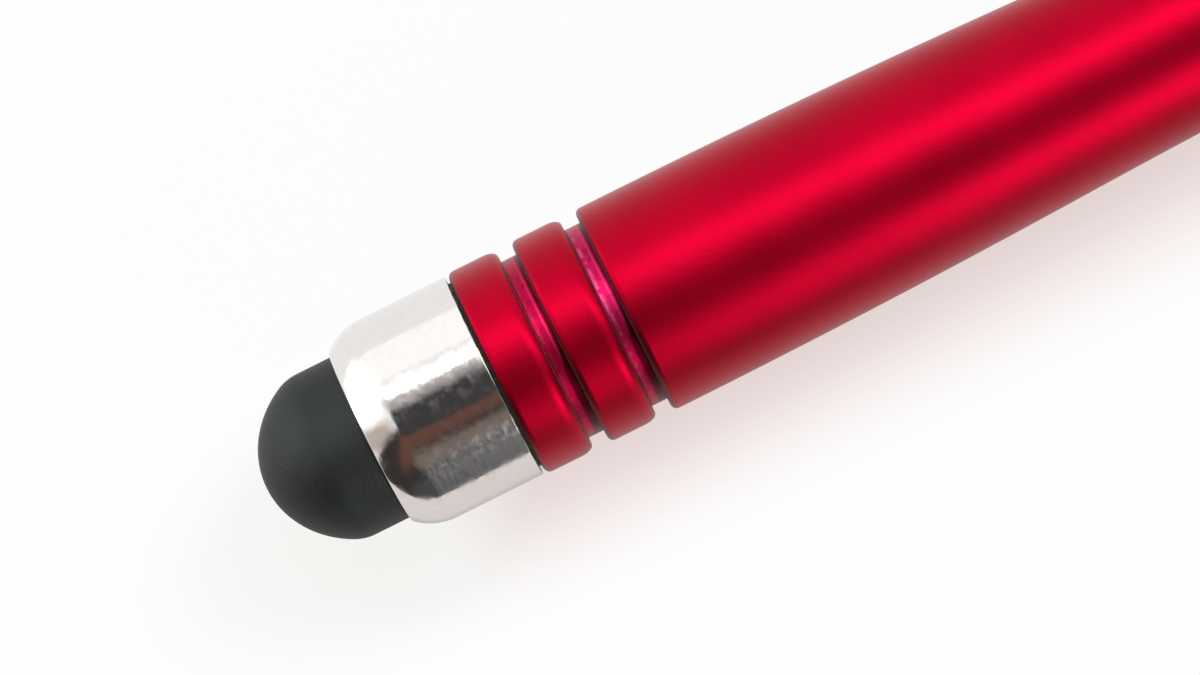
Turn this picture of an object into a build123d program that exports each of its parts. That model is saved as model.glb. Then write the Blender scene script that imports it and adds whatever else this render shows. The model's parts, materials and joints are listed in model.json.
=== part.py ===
from build123d import *
import math
import os

# Twist-action ballpoint pen with a rubber stylus dome on its back end, in millimetres.
# The axis lies along X, stylus end at -X and writing point at +X, with the clip underneath.
# The origin is below mid length, level with the crest of the clip.
# Stations are measured along the axis, from the top of the dome towards the writing point.

# Fits shared by all pieces
running_clearance = 0.05  # between pieces that turn or slide on each other
seat_clearance = 0.02  # between pieces that are pressed, glued or screwed together
cut_overrun = 1.0  # how far a cutter runs past the face it leaves through

# Wall thicknesses, from the refill outwards
refill_diameter = 3.0
refill_wall = 0.3
follower_wall = 0.42
cam_wall = 0.55
coupling_wall = 0.65
drive_wall = 0.3
barrel_wall = 0.63
flare_rise = 0.76  # radius that the barrel gains from its middle to its stylus end

# Stylus dome
dome_height = 3.02  # of the spherical cap
dome_exposed = 5.19  # from the top of the dome to the ferrule
dome_wall = 1.0
dome_flange_length = 1.0

# Ferrule that holds the dome
ferrule_length = 6.17
ferrule_step = 0.065  # that its radius stays under the barrel's
ferrule_wall = 0.45
ferrule_lip = 0.935  # radial width of its rounded shoulder, from the dome to the outside
shoulder_length = 1.85
lip_edge = 0.2  # edge radius of the lip round the dome
lip_face = 0.1  # radial width of the lip's flat
gasket_thickness = 0.12
gasket_recess = 0.35

# Insert that screws the stylus head into the barrel
plug_length = 2.65
shank_diameter = 5.0
shank_length = 8.0
end_bush_length = 16.5
end_bush_recess = 0.3

# Upper barrel
upper_length = 58.5
ring_width = 2.4
groove_width = 0.77
groove_depth = 0.61
ring_edge = 0.3  # edge radius of the two rings
barrel_land = 0.8  # straight run between the second groove and the flare
flare_length = 39.5
barrel_edge = 0.2

# Clip
clip_width = 4.4
clip_tail_width = 3.4
clip_thickness = 0.7
clip_rise = 2.25  # from the barrel to the clip's outside, at the crest
clip_bend = 1.0  # inner radius of the crest
clip_slot_setback = 5.75  # of the slot, from the second groove
clip_tab_depth = 0.8  # that the tab reaches into the bush
clip_foot_setback = 11.0  # of the foot, from the parting joint
clip_tail_radius = 1.2
clip_lip_length = 3.6
clip_lip_rise = 0.5
clip_play = 0.15  # round the tab, for the clip's spring

# Twist joint and its cam
joint_gap = 0.1
centre_ring_length = 2.4
centre_ring_rise = 0.2
coupling_reach = 16.0  # of the coupling into the upper barrel
coupling_thread = 9.0
coupling_flange = 1.0
travel = 5.0  # of the refill in half a turn
lug_diameter = 1.0
lug_reach = 0.3  # of the lugs past the cam sleeve, into the coupling's guides
cam_land = 2.5  # of the sleeve before and after its slots
stem_flats = 3.0
stem_length = 9.5
drive_end = 1.0  # of the drive bush past the stem
retainer_thickness = 0.6
retainer_setback = 0.6
retainer_depth = 0.25
drag_section = 0.4
drag_setback = 1.6  # of the drag ring, from the coupling's flange
follower_back = 1.5  # of the follower behind its lugs
follower_solid = 5.6  # from the lugs to the refill's socket
socket_depth = 8.0

# Lower barrel and nose
lower_length = 44.0
straight_length = 32.0
grip_taper = 0.5  # radius that the barrel loses towards the nose
spigot_length = 8.0
spigot_relief = 3.0  # of the narrow front bore behind the spigot
nose_length = 21.5
nose_step = 0.03
nose_tip_wall = 0.35
nose_tip_edge = 0.12
nose_throat = 8.0  # length of the hole that guides the refill's tip

# Refill and spring
retraction = 2.0  # of the ball behind the nose's mouth
ball_diameter = 1.0
ball_grip = 0.2  # of the socket past the ball's middle
tip_diameter = 2.3
tip_cone = 3.6
tip_rim = 0.08
tip_shank = 4.0
tip_clearance = 0.1  # between the refill's tip and the nose's mouth
tube_clearance = 0.25  # between the refill's tube and the nose
tube_stop = 0.8  # that the tube stays short of the nose's throat with the point out
ink_channel = 0.6
plug_depth = 3.0
vent_diameter = 0.6
bead_width = 0.8
bead_rise = 0.5
spring_wire = 0.4
spring_gap = 0.15  # between the spring's turns and the refill's tube
spring_turns = 7
spring_room = 0.15  # between the spring and the nose's bore
spring_seat = 5.0  # depth of the spring's seat past the nose's shoulder
spring_length = 12.2  # with the point drawn in

# Radii worked out from the inside to the outside
refill_radius = refill_diameter / 2
tube_bore = refill_radius - refill_wall
socket_radius = refill_radius + seat_clearance
follower_radius = socket_radius + follower_wall
cam_bore = follower_radius + running_clearance
cam_radius = cam_bore + cam_wall
coupling_bore = cam_radius + running_clearance
coupling_radius = coupling_bore + coupling_wall
drive_bore = coupling_radius + running_clearance
drive_radius = drive_bore + drive_wall
barrel_bore = drive_radius + seat_clearance
body_radius = barrel_bore + barrel_wall
barrel_radius = body_radius + flare_rise
groove_radius = barrel_radius - groove_depth
ferrule_radius = barrel_radius - ferrule_step
ferrule_bore = ferrule_radius - ferrule_wall
dome_radius = ferrule_radius - ferrule_lip
dome_bore = dome_radius - dome_wall
dome_flange_radius = ferrule_bore - seat_clearance
lip_bore = dome_radius + seat_clearance
shank_radius = shank_diameter / 2
lug_radius = lug_diameter / 2
lug_tip = cam_radius + running_clearance + lug_reach
guide_radius = lug_tip + running_clearance
front_radius = body_radius - grip_taper
front_bore = front_radius - barrel_wall
spigot_radius = front_bore - seat_clearance
tip_radius = tip_diameter / 2
ball_radius = ball_diameter / 2
throat_radius = tip_radius + tip_clearance
mouth_radius = throat_radius + nose_tip_wall
nose_tube_bore = refill_radius + tube_clearance
spring_inner = refill_radius + spring_gap
spring_radius = spring_inner + spring_wire / 2
spring_bore = spring_inner + spring_wire + spring_room

# Stations along the axis
lip_end = dome_exposed + shoulder_length
flange_start = lip_end + seat_clearance
flange_end = flange_start + dome_flange_length
ferrule_end = dome_exposed + ferrule_length
barrel_start = ferrule_end + gasket_thickness
groove_pitch = ring_width + groove_width
groove_starts = [barrel_start + ring_width, barrel_start + ring_width + groove_pitch]
flare_start = groove_starts[1] + groove_width + barrel_land
flare_end = flare_start + flare_length
clip_slot = groove_starts[1] + groove_width + clip_slot_setback
joint = barrel_start + upper_length
ring_start = joint + joint_gap
ring_end = ring_start + centre_ring_length
coupling_start = joint - coupling_reach
coupling_end = ring_end + coupling_thread
flange_back = ring_start - coupling_flange
retainer_start = coupling_start + retainer_setback
cam_start = retainer_start + retainer_thickness + running_clearance
slot_run_out = lug_radius + 2 * running_clearance
lug_station = cam_start + cam_land + slot_run_out
cam_end = lug_station + travel + slot_run_out + cam_land
coupling_shoulder = cam_end + running_clearance
drive_start = cam_start - stem_length - drive_end
socket_bottom = lug_station + follower_solid
follower_end = socket_bottom + socket_depth
lower_end = ring_end + lower_length
straight_end = ring_end + straight_length
nose_end = lower_end + nose_length
spring_front = lower_end + spring_seat
throat_start = nose_end - nose_throat
bead_end = spring_front - spring_length
tube_start = socket_bottom + seat_clearance
tube_end = throat_start - travel - tube_stop
ball_station = nose_end - retraction - ball_radius

# Height of the axis over the crest of the clip
crest = barrel_radius + clip_rise


def turned(*edges):
    """Solid turned about the X axis from a closed outline of edges in (station, radius)."""
    return revolve(make_face(edges), Axis.X)


def lathe(*points):
    """Solid turned about the X axis from a closed outline of straight lines."""
    return turned(Polyline(*points, close=True))


def tube(start, end, outer, inner):
    """Plain sleeve between two stations."""
    return lathe((start, inner), (start, outer), (end, outer), (end, inner))


def rod(start, end, radius):
    """Plain round bar between two stations."""
    return lathe((start, 0), (start, radius), (end, radius), (end, 0))


def underside(shape):
    """Turn a shape drawn with Y outwards so that it hangs on the -Z side of the axis."""
    return Rot(-90, 0, 0) * shape


def block(start, end, inner, outer, width):
    """Box on the clip's side, between two stations and two distances from the axis."""
    middle = ((start + end) / 2, (inner + outer) / 2, 0)
    return underside(Pos(*middle) * Box(end - start, outer - inner, width))


def s_curve(start, end):
    """Two equal arcs from one point to another, level with the axis at both ends."""
    middle = (Vector(start) + Vector(end)) / 2
    return [TangentArc(start, middle, tangent=(1, 0)), TangentArc(end, middle, tangent=(-1, 0))]


def stylus_dome():
    """Hollow rubber dome: a spherical cap on a short cylinder, with a flange behind the ferrule's lip."""
    cap_radius = (dome_radius**2 + dome_height**2) / (2 * dome_height)
    hollow_radius = cap_radius - dome_wall
    hollow_run = hollow_radius - math.sqrt(hollow_radius**2 - dome_bore**2)
    outer_cap = RadiusArc((0, 0), (dome_height, dome_radius), cap_radius)
    inner_cap = RadiusArc((dome_wall + hollow_run, dome_bore), (dome_wall, 0), -hollow_radius)
    sides = Polyline(
        (dome_height, dome_radius),
        (flange_start, dome_radius),
        (flange_start, dome_flange_radius),
        (flange_end, dome_flange_radius),
        (flange_end, dome_bore),
        (dome_wall + hollow_run, dome_bore),
    )
    return turned(outer_cap, sides, inner_cap, Line((dome_wall, 0), (0, 0)))


def stylus_insert():
    """Brass core: a plug in the dome, a flange in the ferrule and a shank in the barrel's bush."""
    plug_radius = dome_bore - seat_clearance
    return lathe(
        (flange_end - plug_length, 0),
        (flange_end - plug_length, plug_radius),
        (flange_end, plug_radius),
        (flange_end, dome_flange_radius),
        (ferrule_end, dome_flange_radius),
        (ferrule_end, shank_radius),
        (barrel_start + shank_length, shank_radius),
        (barrel_start + shank_length, 0),
    )


def ferrule():
    """Chromed sleeve with a rounded shoulder that closes in round the dome. The shoulder's arc and the small arc of
    the lip's edge touch where the line through their centres meets them."""
    edge_level = lip_bore + lip_face
    drop = ferrule_radius - edge_level
    run = shoulder_length - lip_edge
    shoulder_radius = (run**2 + drop**2 - lip_edge**2) / (2 * (drop - lip_edge))
    reach = shoulder_radius / (shoulder_radius - lip_edge)
    meeting = (lip_end - run * reach, ferrule_radius - shoulder_radius + (shoulder_radius - drop) * reach)
    shoulder = TangentArc((lip_end, ferrule_radius), meeting, tangent=(-1, 0))
    edge = TangentArc((dome_exposed, edge_level), meeting, tangent=(0, 1))
    rest = Polyline(
        (lip_end, ferrule_radius),
        (ferrule_end, ferrule_radius),
        (ferrule_end, ferrule_bore),
        (lip_end, ferrule_bore),
        (lip_end, lip_bore),
        (dome_exposed, lip_bore),
        (dome_exposed, edge_level),
    )
    return turned(shoulder, edge, rest)


def head_gasket():
    """Thin black washer in the joint between ferrule and barrel."""
    return tube(ferrule_end, barrel_start, ferrule_radius - gasket_recess, shank_radius + seat_clearance)


def end_bush():
    """Plastic bush that takes the stylus head's shank and traps the clip's tab."""
    start = barrel_start + end_bush_recess
    sleeve = tube(start, start + end_bush_length, drive_radius, shank_radius + seat_clearance)
    half = clip_thickness / 2 + clip_play
    tab_end = drive_radius - clip_tab_depth - clip_play
    pocket_width = clip_width + 2 * clip_play
    pocket = block(clip_slot - half, clip_slot + half, tab_end, drive_radius + cut_overrun, pocket_width)
    return sleeve - pocket


def upper_barrel():
    """Anodised barrel: two rings cut by square grooves, then a bowed flare down to the parting joint."""
    corners = [(barrel_start, barrel_bore), (barrel_start, barrel_radius)]
    radii = [ring_edge]
    for groove in groove_starts:
        corners += [
            (groove, barrel_radius),
            (groove, groove_radius),
            (groove + groove_width, groove_radius),
            (groove + groove_width, barrel_radius),
        ]
        radii += [ring_edge, 0, 0, ring_edge]
    corners.append((flare_start, barrel_radius))
    rings = FilletPolyline(*corners, radius=radii)
    flare = s_curve((flare_start, barrel_radius), (flare_end, body_radius))
    back = FilletPolyline(
        (flare_end, body_radius),
        (joint, body_radius),
        (joint, barrel_bore),
        (barrel_start, barrel_bore),
        radius=[barrel_edge, 0],
    )
    half = clip_thickness / 2 + clip_play
    slot_width = clip_width + 2 * clip_play
    slot = block(clip_slot - half, clip_slot + half, shank_radius, crest, slot_width)
    return turned(rings, *flare, back) - slot


def clip_path():
    """Middle line of the clip's strip: tab, bend at the crest, bowed run, foot and turned-up lip."""
    bend = clip_bend + clip_thickness / 2
    top = crest - clip_thickness / 2
    foot = (joint - clip_foot_setback, body_radius + running_clearance + clip_thickness / 2)
    tab = Line((clip_slot, drive_radius - clip_tab_depth), (clip_slot, top - bend))
    turn = TangentArc(tab @ 1, (clip_slot + bend, top), tangent=(0, 1))
    lip = TangentArc(foot, (foot[0] + clip_lip_length, foot[1] + clip_lip_rise), tangent=(1, 0))
    return Wire([tab, turn, *s_curve(turn @ 1, foot), lip])


def clip():
    """Sprung strip that narrows to a rounded tail."""
    path = clip_path()
    start_plane = Plane(origin=path @ 0, x_dir=(1, 0, 0), z_dir=path % 0)
    strip = sweep(start_plane * Rectangle(clip_thickness, clip_width), path)
    shoulder = clip_slot + clip_bend + clip_thickness
    tail = (path @ 1).X
    side = clip_width / 2
    tail_side = clip_tail_width / 2
    outline = FilletPolyline(
        (clip_slot - cut_overrun, side),
        (shoulder, side),
        (tail, tail_side),
        (tail, -tail_side),
        (shoulder, -side),
        (clip_slot - cut_overrun, -side),
        radius=[0, 0, clip_tail_radius, clip_tail_radius, 0, 0],
        close=True,
    )
    planform = extrude(make_face(outline), crest + cut_overrun, both=True)
    return underside(strip & Rot(90, 0, 0) * planform)


def drive_bush():
    """Plastic bush in the upper barrel: a socket for the cam's stem and a bearing for the coupling."""
    front = flange_back - joint_gap
    cup_bottom = coupling_start - joint_gap
    outline = lathe(
        (drive_start, 0),
        (drive_start, drive_radius),
        (front, drive_radius),
        (front, drive_bore),
        (cup_bottom, drive_bore),
        (cup_bottom, 0),
    )
    hole = hexagon_bar(cam_start - stem_length - running_clearance, coupling_start, seat_clearance)
    return outline - hole


def hexagon_bar(start, end, growth):
    """Hexagonal bar along the axis, grown by a clearance on every flat."""
    section = RegularPolygon(stem_flats / 2 + growth, 6, major_radius=False)
    return Pos(start, 0, 0) * extrude(Plane.YZ * section, end - start)


def cam_sleeve():
    """Sleeve with two helical slots, on a hexagonal stem that the upper barrel turns."""
    floor = cam_start + cam_land / 2
    sleeve = rod(cam_start, cam_end, cam_radius) - rod(floor, cam_end + cut_overrun, cam_bore)
    sleeve += hexagon_bar(cam_start - stem_length, floor, 0)
    for start_angle in (0, 180):
        sleeve -= helical_slot(start_angle)
    return sleeve


def helical_slot(start_angle):
    """Cutter for one slot: a radial strip that turns half a turn while it moves by the refill's travel."""
    lead = math.atan2(travel, math.pi * cam_radius)
    half_width = (lug_radius + running_clearance) / math.sin(lead)
    run_out_angle = 180 * slot_run_out / travel
    start = lug_station - slot_run_out
    run = travel + 2 * slot_run_out
    plane = Plane(origin=(start, 0, 0), x_dir=(0, 1, 0), z_dir=(1, 0, 0))
    inner = cam_bore / 2
    outer = cam_radius + cut_overrun
    strip = plane * Pos((inner + outer) / 2, 0) * Rectangle(outer - inner, 2 * half_width)
    turned_back = Rot(start_angle - run_out_angle, 0, 0) * strip
    return Solid.extrude_linear_with_rotation(
        turned_back.face(), (start, 0, 0), (run, 0, 0), 180 + 2 * run_out_angle
    )


def retaining_ring():
    """Snap ring that keeps the cam sleeve in the coupling."""
    stem_corner = stem_flats / 2 / math.cos(math.pi / 6)
    outer = coupling_bore + retainer_depth - seat_clearance
    return tube(retainer_start, retainer_start + retainer_thickness, outer, stem_corner + running_clearance)


def coupling():
    """Brass tube on which the halves turn, with a flange, two guide slots and the lower barrel's thread."""
    follower_bore = follower_radius + running_clearance
    body = lathe(
        (coupling_start, coupling_bore),
        (coupling_start, coupling_radius),
        (flange_back, coupling_radius),
        (flange_back, barrel_bore - running_clearance),
        (ring_start, barrel_bore - running_clearance),
        (ring_start, coupling_radius),
        (coupling_end, coupling_radius),
        (coupling_end, follower_bore),
        (coupling_shoulder, follower_bore),
        (coupling_shoulder, coupling_bore),
    )
    retainer_groove = tube(
        retainer_start,
        retainer_start + retainer_thickness,
        coupling_bore + retainer_depth,
        cam_radius,
    )
    drag_groove = tube(
        flange_back - drag_setback - drag_section / 2 - running_clearance,
        flange_back - drag_setback + drag_section / 2 + running_clearance,
        coupling_radius + cut_overrun,
        drive_bore - running_clearance - drag_section - seat_clearance,
    )
    guide_start = coupling_start - cut_overrun
    guide_end = lug_station + travel + lug_radius + 2 * running_clearance
    guide = Box(guide_end - guide_start, 2 * guide_radius, lug_diameter + 2 * running_clearance)
    return body - retainer_groove - drag_groove - Pos((guide_start + guide_end) / 2, 0, 0) * guide


def drag_ring():
    """Rubber ring that gives the twist its drag."""
    centre = drive_bore - running_clearance - drag_section / 2
    return turned(Pos(flange_back - drag_setback, centre) * Circle(drag_section / 2).edge())


def centre_ring():
    """Chromed ring between the two barrels."""
    outer = body_radius + centre_ring_rise
    inner = coupling_radius + seat_clearance
    outline = FilletPolyline(
        (ring_start, inner),
        (ring_start, outer),
        (ring_end, outer),
        (ring_end, inner),
        radius=[barrel_edge, barrel_edge],
    )
    return turned(outline, Line((ring_end, inner), (ring_start, inner)))


def thread_bush():
    """Brass bush pressed into the lower barrel, for the coupling's thread."""
    return tube(ring_end, coupling_end, drive_radius, coupling_radius + seat_clearance)


def lower_barrel():
    """Anodised barrel, straight for most of its length and bowed in towards the nose."""
    front_step = lower_end - spigot_length - spigot_relief
    bow = TangentArc((straight_end, body_radius), (lower_end, front_radius), tangent=(1, 0))
    bore = Polyline(
        (lower_end, front_radius),
        (lower_end, front_bore),
        (front_step, front_bore),
        (front_step, barrel_bore),
        (ring_end, barrel_bore),
    )
    back = FilletPolyline(
        (ring_end, barrel_bore),
        (ring_end, body_radius),
        (straight_end, body_radius),
        radius=[barrel_edge],
    )
    return turned(back, bow, bore)


def nose_cone():
    """Chromed cone that carries on the barrel's curve, bored for the spring, the refill and its tip."""
    taper_run = lower_end - straight_end
    bow_radius = (taper_run**2 + grip_taper**2) / (2 * grip_taper)
    slope = math.asin(taper_run / bow_radius)
    curve = TangentArc(
        (lower_end, front_radius - nose_step),
        (nose_end - nose_tip_edge, mouth_radius),
        tangent=(math.cos(slope), -math.sin(slope)),
    )
    rest = Polyline(
        (nose_end - nose_tip_edge, mouth_radius),
        (nose_end, mouth_radius - nose_tip_edge),
        (nose_end, throat_radius),
        (throat_start, throat_radius),
        (throat_start, nose_tube_bore),
        (spring_front, nose_tube_bore),
        (spring_front, spring_bore),
        (lower_end - spigot_length, spring_bore),
        (lower_end - spigot_length, spigot_radius),
        (lower_end, spigot_radius),
        (lower_end, front_radius - nose_step),
    )
    return turned(curve, rest)


def cam_follower():
    """Plunger with two lugs that the cam drives, and a socket for the refill."""
    body = rod(lug_station - follower_back, follower_end, follower_radius)
    socket = rod(socket_bottom, follower_end + cut_overrun, socket_radius)
    lugs = Pos(lug_station, 0, 0) * Rot(90, 0, 0) * Cylinder(lug_radius, 2 * lug_tip)
    return body - socket + lugs


def refill_tube():
    """Metal ink tube with a swaged bead for the spring."""
    bead_start = bead_end - bead_width
    bead_radius = refill_radius + bead_rise
    return lathe(
        (tube_start, tube_bore),
        (tube_start, refill_radius),
        (bead_start, refill_radius),
        (bead_start + bead_rise / 2, bead_radius),
        (bead_end, bead_radius),
        (bead_end, refill_radius),
        (tube_end, refill_radius),
        (tube_end, tube_bore),
    )


def refill_plug():
    """Vented plug in the back of the ink tube."""
    return tube(tube_start, tube_start + plug_depth, tube_bore - seat_clearance, vent_diameter / 2)


def ink():
    """Column of ink paste between the plug and the tip's shank."""
    return rod(tube_start + plug_depth, tube_end - tip_shank, tube_bore - seat_clearance)


def refill_tip():
    """Metal point: a shank in the tube, a straight run and a cone that holds the ball."""
    rim = ball_station + ball_grip
    rim_radius = ball_radius + tip_rim
    shank_outside = tube_bore - seat_clearance
    body = lathe(
        (tube_end - tip_shank, ink_channel / 2),
        (tube_end - tip_shank, shank_outside),
        (tube_end, shank_outside),
        (tube_end, tip_radius),
        (rim - tip_cone, tip_radius),
        (rim, rim_radius),
        (rim, ink_channel / 2),
    )
    return body - Pos(ball_station, 0, 0) * Sphere(ball_radius + seat_clearance)


def ball():
    """Writing ball."""
    return Pos(ball_station, 0, 0) * Sphere(ball_radius)


def spring_point(turn):
    """Point of the spring's helix after a number of turns, and its direction there."""
    angle = 2 * math.pi * turn
    end_room = spring_wire / 2 + seat_clearance
    rise = (spring_length - 2 * end_room) / spring_turns
    along = bead_end + end_room + rise * turn
    point = Vector(along, spring_radius * math.cos(angle), spring_radius * math.sin(angle))
    step = 2 * math.pi * spring_radius
    direction = Vector(rise, -step * math.sin(angle), step * math.cos(angle)).normalized()
    return point, direction


def biarc(first, second):
    """Two tangent arcs that join two points with given directions."""
    start, start_way = first
    end, end_way = second
    chord = end - start
    both_ways = start_way + end_way
    bend = 2 * (1 - start_way.dot(end_way))
    reach_along = chord.dot(both_ways)
    reach = (math.sqrt(reach_along**2 + bend * chord.dot(chord)) - reach_along) / bend
    before = start + start_way * reach
    after = end - end_way * reach
    joint_point = (before + after) / 2
    return [
        TangentArc(start, joint_point, tangent=start_way),
        TangentArc(joint_point, end, tangent=after - before),
    ]


def return_spring():
    """Compression spring round the refill, wound as one tube on quarter-turn arcs."""
    quarters = [spring_point(quarter / 4) for quarter in range(4 * spring_turns + 1)]
    arcs = [arc for pair in zip(quarters, quarters[1:]) for arc in biarc(*pair)]
    start, direction = quarters[0]
    section = Plane(origin=start, z_dir=direction) * Circle(spring_wire / 2)
    pitches = [(later[0] - early[0]).length for early, later in zip(quarters, quarters[4:])]
    print(f"return spring: least gap between turns {min(pitches) - spring_wire:.2f} mm")
    return sweep(section, Wire([edge for arc in arcs for edge in arc.edges()]))


pieces = [
    stylus_dome,
    stylus_insert,
    ferrule,
    head_gasket,
    end_bush,
    upper_barrel,
    clip,
    drive_bush,
    cam_sleeve,
    retaining_ring,
    coupling,
    drag_ring,
    centre_ring,
    thread_bush,
    lower_barrel,
    nose_cone,
    cam_follower,
    refill_tube,
    refill_plug,
    ink,
    refill_tip,
    ball,
    return_spring,
]


def main():
    os.makedirs("parts", exist_ok=True)
    to_frame = Pos(-nose_end / 2, 0, crest)
    for piece in pieces:
        export_step(to_frame * piece(), f"parts/{piece.__name__}.step")


main()
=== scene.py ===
import json
import math

import bpy
import numpy as np
from bpy.props import FloatProperty, FloatVectorProperty, IntProperty, PointerProperty
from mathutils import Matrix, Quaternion, Vector


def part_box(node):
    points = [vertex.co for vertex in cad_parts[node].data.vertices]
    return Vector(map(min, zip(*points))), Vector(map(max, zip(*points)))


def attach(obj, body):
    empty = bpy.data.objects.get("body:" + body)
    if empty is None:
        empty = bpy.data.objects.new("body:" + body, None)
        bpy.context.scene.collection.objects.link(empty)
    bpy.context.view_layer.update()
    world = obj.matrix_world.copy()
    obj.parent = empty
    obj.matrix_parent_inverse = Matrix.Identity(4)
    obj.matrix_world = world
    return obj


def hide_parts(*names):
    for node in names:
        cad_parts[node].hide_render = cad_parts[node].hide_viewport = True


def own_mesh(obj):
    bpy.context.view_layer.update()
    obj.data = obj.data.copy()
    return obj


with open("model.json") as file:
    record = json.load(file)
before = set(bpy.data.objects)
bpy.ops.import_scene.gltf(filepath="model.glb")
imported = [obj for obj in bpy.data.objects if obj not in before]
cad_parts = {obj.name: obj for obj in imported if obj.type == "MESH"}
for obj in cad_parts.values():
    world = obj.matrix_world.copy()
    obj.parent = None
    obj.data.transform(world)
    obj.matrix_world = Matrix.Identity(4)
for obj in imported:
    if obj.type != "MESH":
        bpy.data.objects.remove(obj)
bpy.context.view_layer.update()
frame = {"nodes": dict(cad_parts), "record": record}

bl_info = {
    "name": "Stylus pen",
    "version": (1, 0, 0),
    "blender": (4, 5, 0),
    "location": "3D View > Sidebar > Stylus pen",
    "description": "Dresses a twist-action ballpoint pen that has a rubber stylus on its back end",
    "category": "Mesh",
}


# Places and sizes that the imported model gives


def span(node):
    """First and last place of a node along the pen's axis."""
    low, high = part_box(node)
    return low.x, high.x


def half_width(node):
    """Largest radius of a turned node: half the smaller of its extents across the axis, so within its box."""
    low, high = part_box(node)
    return min(high.y - low.y, high.z - low.z) / 2


def axis_level():
    """Height of the pen's axis over the crest of its clip."""
    low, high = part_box("ferrule")
    return (low.z + high.z) / 2


axis_height = axis_level()
dome_tip, dome_end = span("stylus_dome")
ferrule_start, ferrule_end = span("ferrule")
gasket_start, gasket_end = span("head_gasket")
barrel_start, joint = span("upper_barrel")
ring_start, ring_end = span("centre_ring")
lower_start, lower_end = span("lower_barrel")
nose_back, nose_end = span("nose_cone")
tip_back, tip_rim = span("refill_tip")
ball_start, ball_end = span("ball")
clip_start, clip_end = span("clip")
record = frame["record"]


# Settings


def length(name, description, default):
    """Property for a size in metres."""
    return FloatProperty(name=name, description=description, default=default, unit="LENGTH", precision=5)


def angle(name, description, degrees):
    """Property for an angle, whose default is given in degrees."""
    return FloatProperty(name=name, description=description, default=math.radians(degrees), unit="ROTATION")


def share(name, description, default):
    """Property for a plain number from nothing to all."""
    return FloatProperty(name=name, description=description, default=default, min=0, max=1, subtype="FACTOR")


def level(name, description, default):
    """Property for a brightness, where 1 is white."""
    return FloatProperty(name=name, description=description, default=default, min=0)


def colour(name, description, default):
    """Property for a colour in linear values."""
    return FloatVectorProperty(
        name=name, description=description, default=default, subtype="COLOR", size=3, min=0, max=1
    )


class StylusHeadSettings(bpy.types.PropertyGroup):
    """Sizes of the rubber dome, its ferrule and the gasket."""

    dome_radius: length("Dome radius", "Radius of the dome's straight part", 0.004)
    cap_reach: length("Cap reach", "Half length of the ellipse that the dome's cap is part of", 0.00492)
    cap_width: length("Cap width", "Half width of that ellipse", 0.00434)
    dome_wall: length("Dome wall", "Thickness of the rubber", 0.001)
    dome_edge: length("Dome edge", "Length of the soft edge between the cap and the straight part", 0.0009)
    flange_length: length("Flange length", "Length of the dome's flange in the ferrule", 0.001)
    shoulder_length: length("Shoulder length", "Length of the ferrule's rounded shoulder", 0.00185)
    lip_edge: length("Lip edge", "Radius of the edge of the lip round the dome", 0.0002)
    lip_face: length("Lip face", "Width of the lip's flat", 0.0001)
    seat_clearance: length("Seat clearance", "Room between pieces that are pressed together", 0.00002)
    ferrule_wall: length("Ferrule wall", "Thickness of the ferrule", 0.00045)
    ferrule_edge: length("Ferrule edge", "Radius of the ferrule's edge at the barrel", 0.00003)
    ferrule_ripple: length("Ferrule ripple", "Unevenness of the ferrule's edge at the barrel", 0.00002)
    gasket_ripple: length("Gasket ripple", "Unevenness of the gasket's rim", 0.00008)
    gasket_bore: length("Gasket bore", "Radius of the hole in the gasket", 0.00252)


class BarrelSettings(bpy.types.PropertyGroup):
    """Sizes of the two red barrels and the centre ring."""

    ring_width: length("Ring width", "Width of each ring before a groove", 0.0024)
    ring_edge: length("Ring edge", "Radius of the rings' edges", 0.0003)
    ring_fall: length("Ring fall", "Length of the soft fall of a ring to the groove behind it", 0.0006)
    groove_width: length("Groove width", "Width of the two grooves", 0.00077)
    groove_depth: length("Groove depth", "Depth of the two grooves", 0.00061)
    groove_edge: length("Groove edge", "Radius at the bottom of the grooves", 0.00005)
    land: length("Land", "Straight run between the second groove and the flare", 0.0008)
    flare_length: length("Flare length", "Length over which the upper barrel narrows", 0.0395)
    joint_edge: length("Joint edge", "Radius of the edges at the joint and the centre ring", 0.0002)
    bore: length("Bore", "Radius of both barrels' bore", 0.00361)
    straight_length: length("Straight length", "Length of the lower barrel before it bows in", 0.032)
    grip_taper: length("Grip taper", "Radius that the lower barrel loses towards the nose", 0.0005)
    front_bore: length("Front bore", "Radius of the lower barrel's bore for the nose", 0.00311)
    front_depth: length("Front depth", "Depth of the bore for the nose", 0.011)
    ring_bore: length("Centre ring bore", "Radius of the hole in the centre ring", 0.00326)


class ClipSettings(bpy.types.PropertyGroup):
    """Sizes of the clip and of its slot in the upper barrel."""

    thickness: length("Thickness", "Thickness of the strip", 0.0007)
    tail_width: length("Tail width", "Width of the strip before its rounded tail", 0.0034)
    tail_radius: length("Tail radius", "Corner radius of the tail", 0.0012)
    bend: length("Bend", "Inner radius of the bend at the crest", 0.001)
    foot_setback: length("Foot setback", "Distance of the foot from the joint", 0.011)
    foot_gap: length("Foot gap", "Room between the foot and the barrel", 0.00005)
    lip_rise: length("Lip rise", "Height of the turned-up lip", 0.0005)
    edge: length("Edge", "Radius of the strip's edges", 0.00018)
    play: length("Play", "Room round the strip in its slot", 0.00015)


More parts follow.
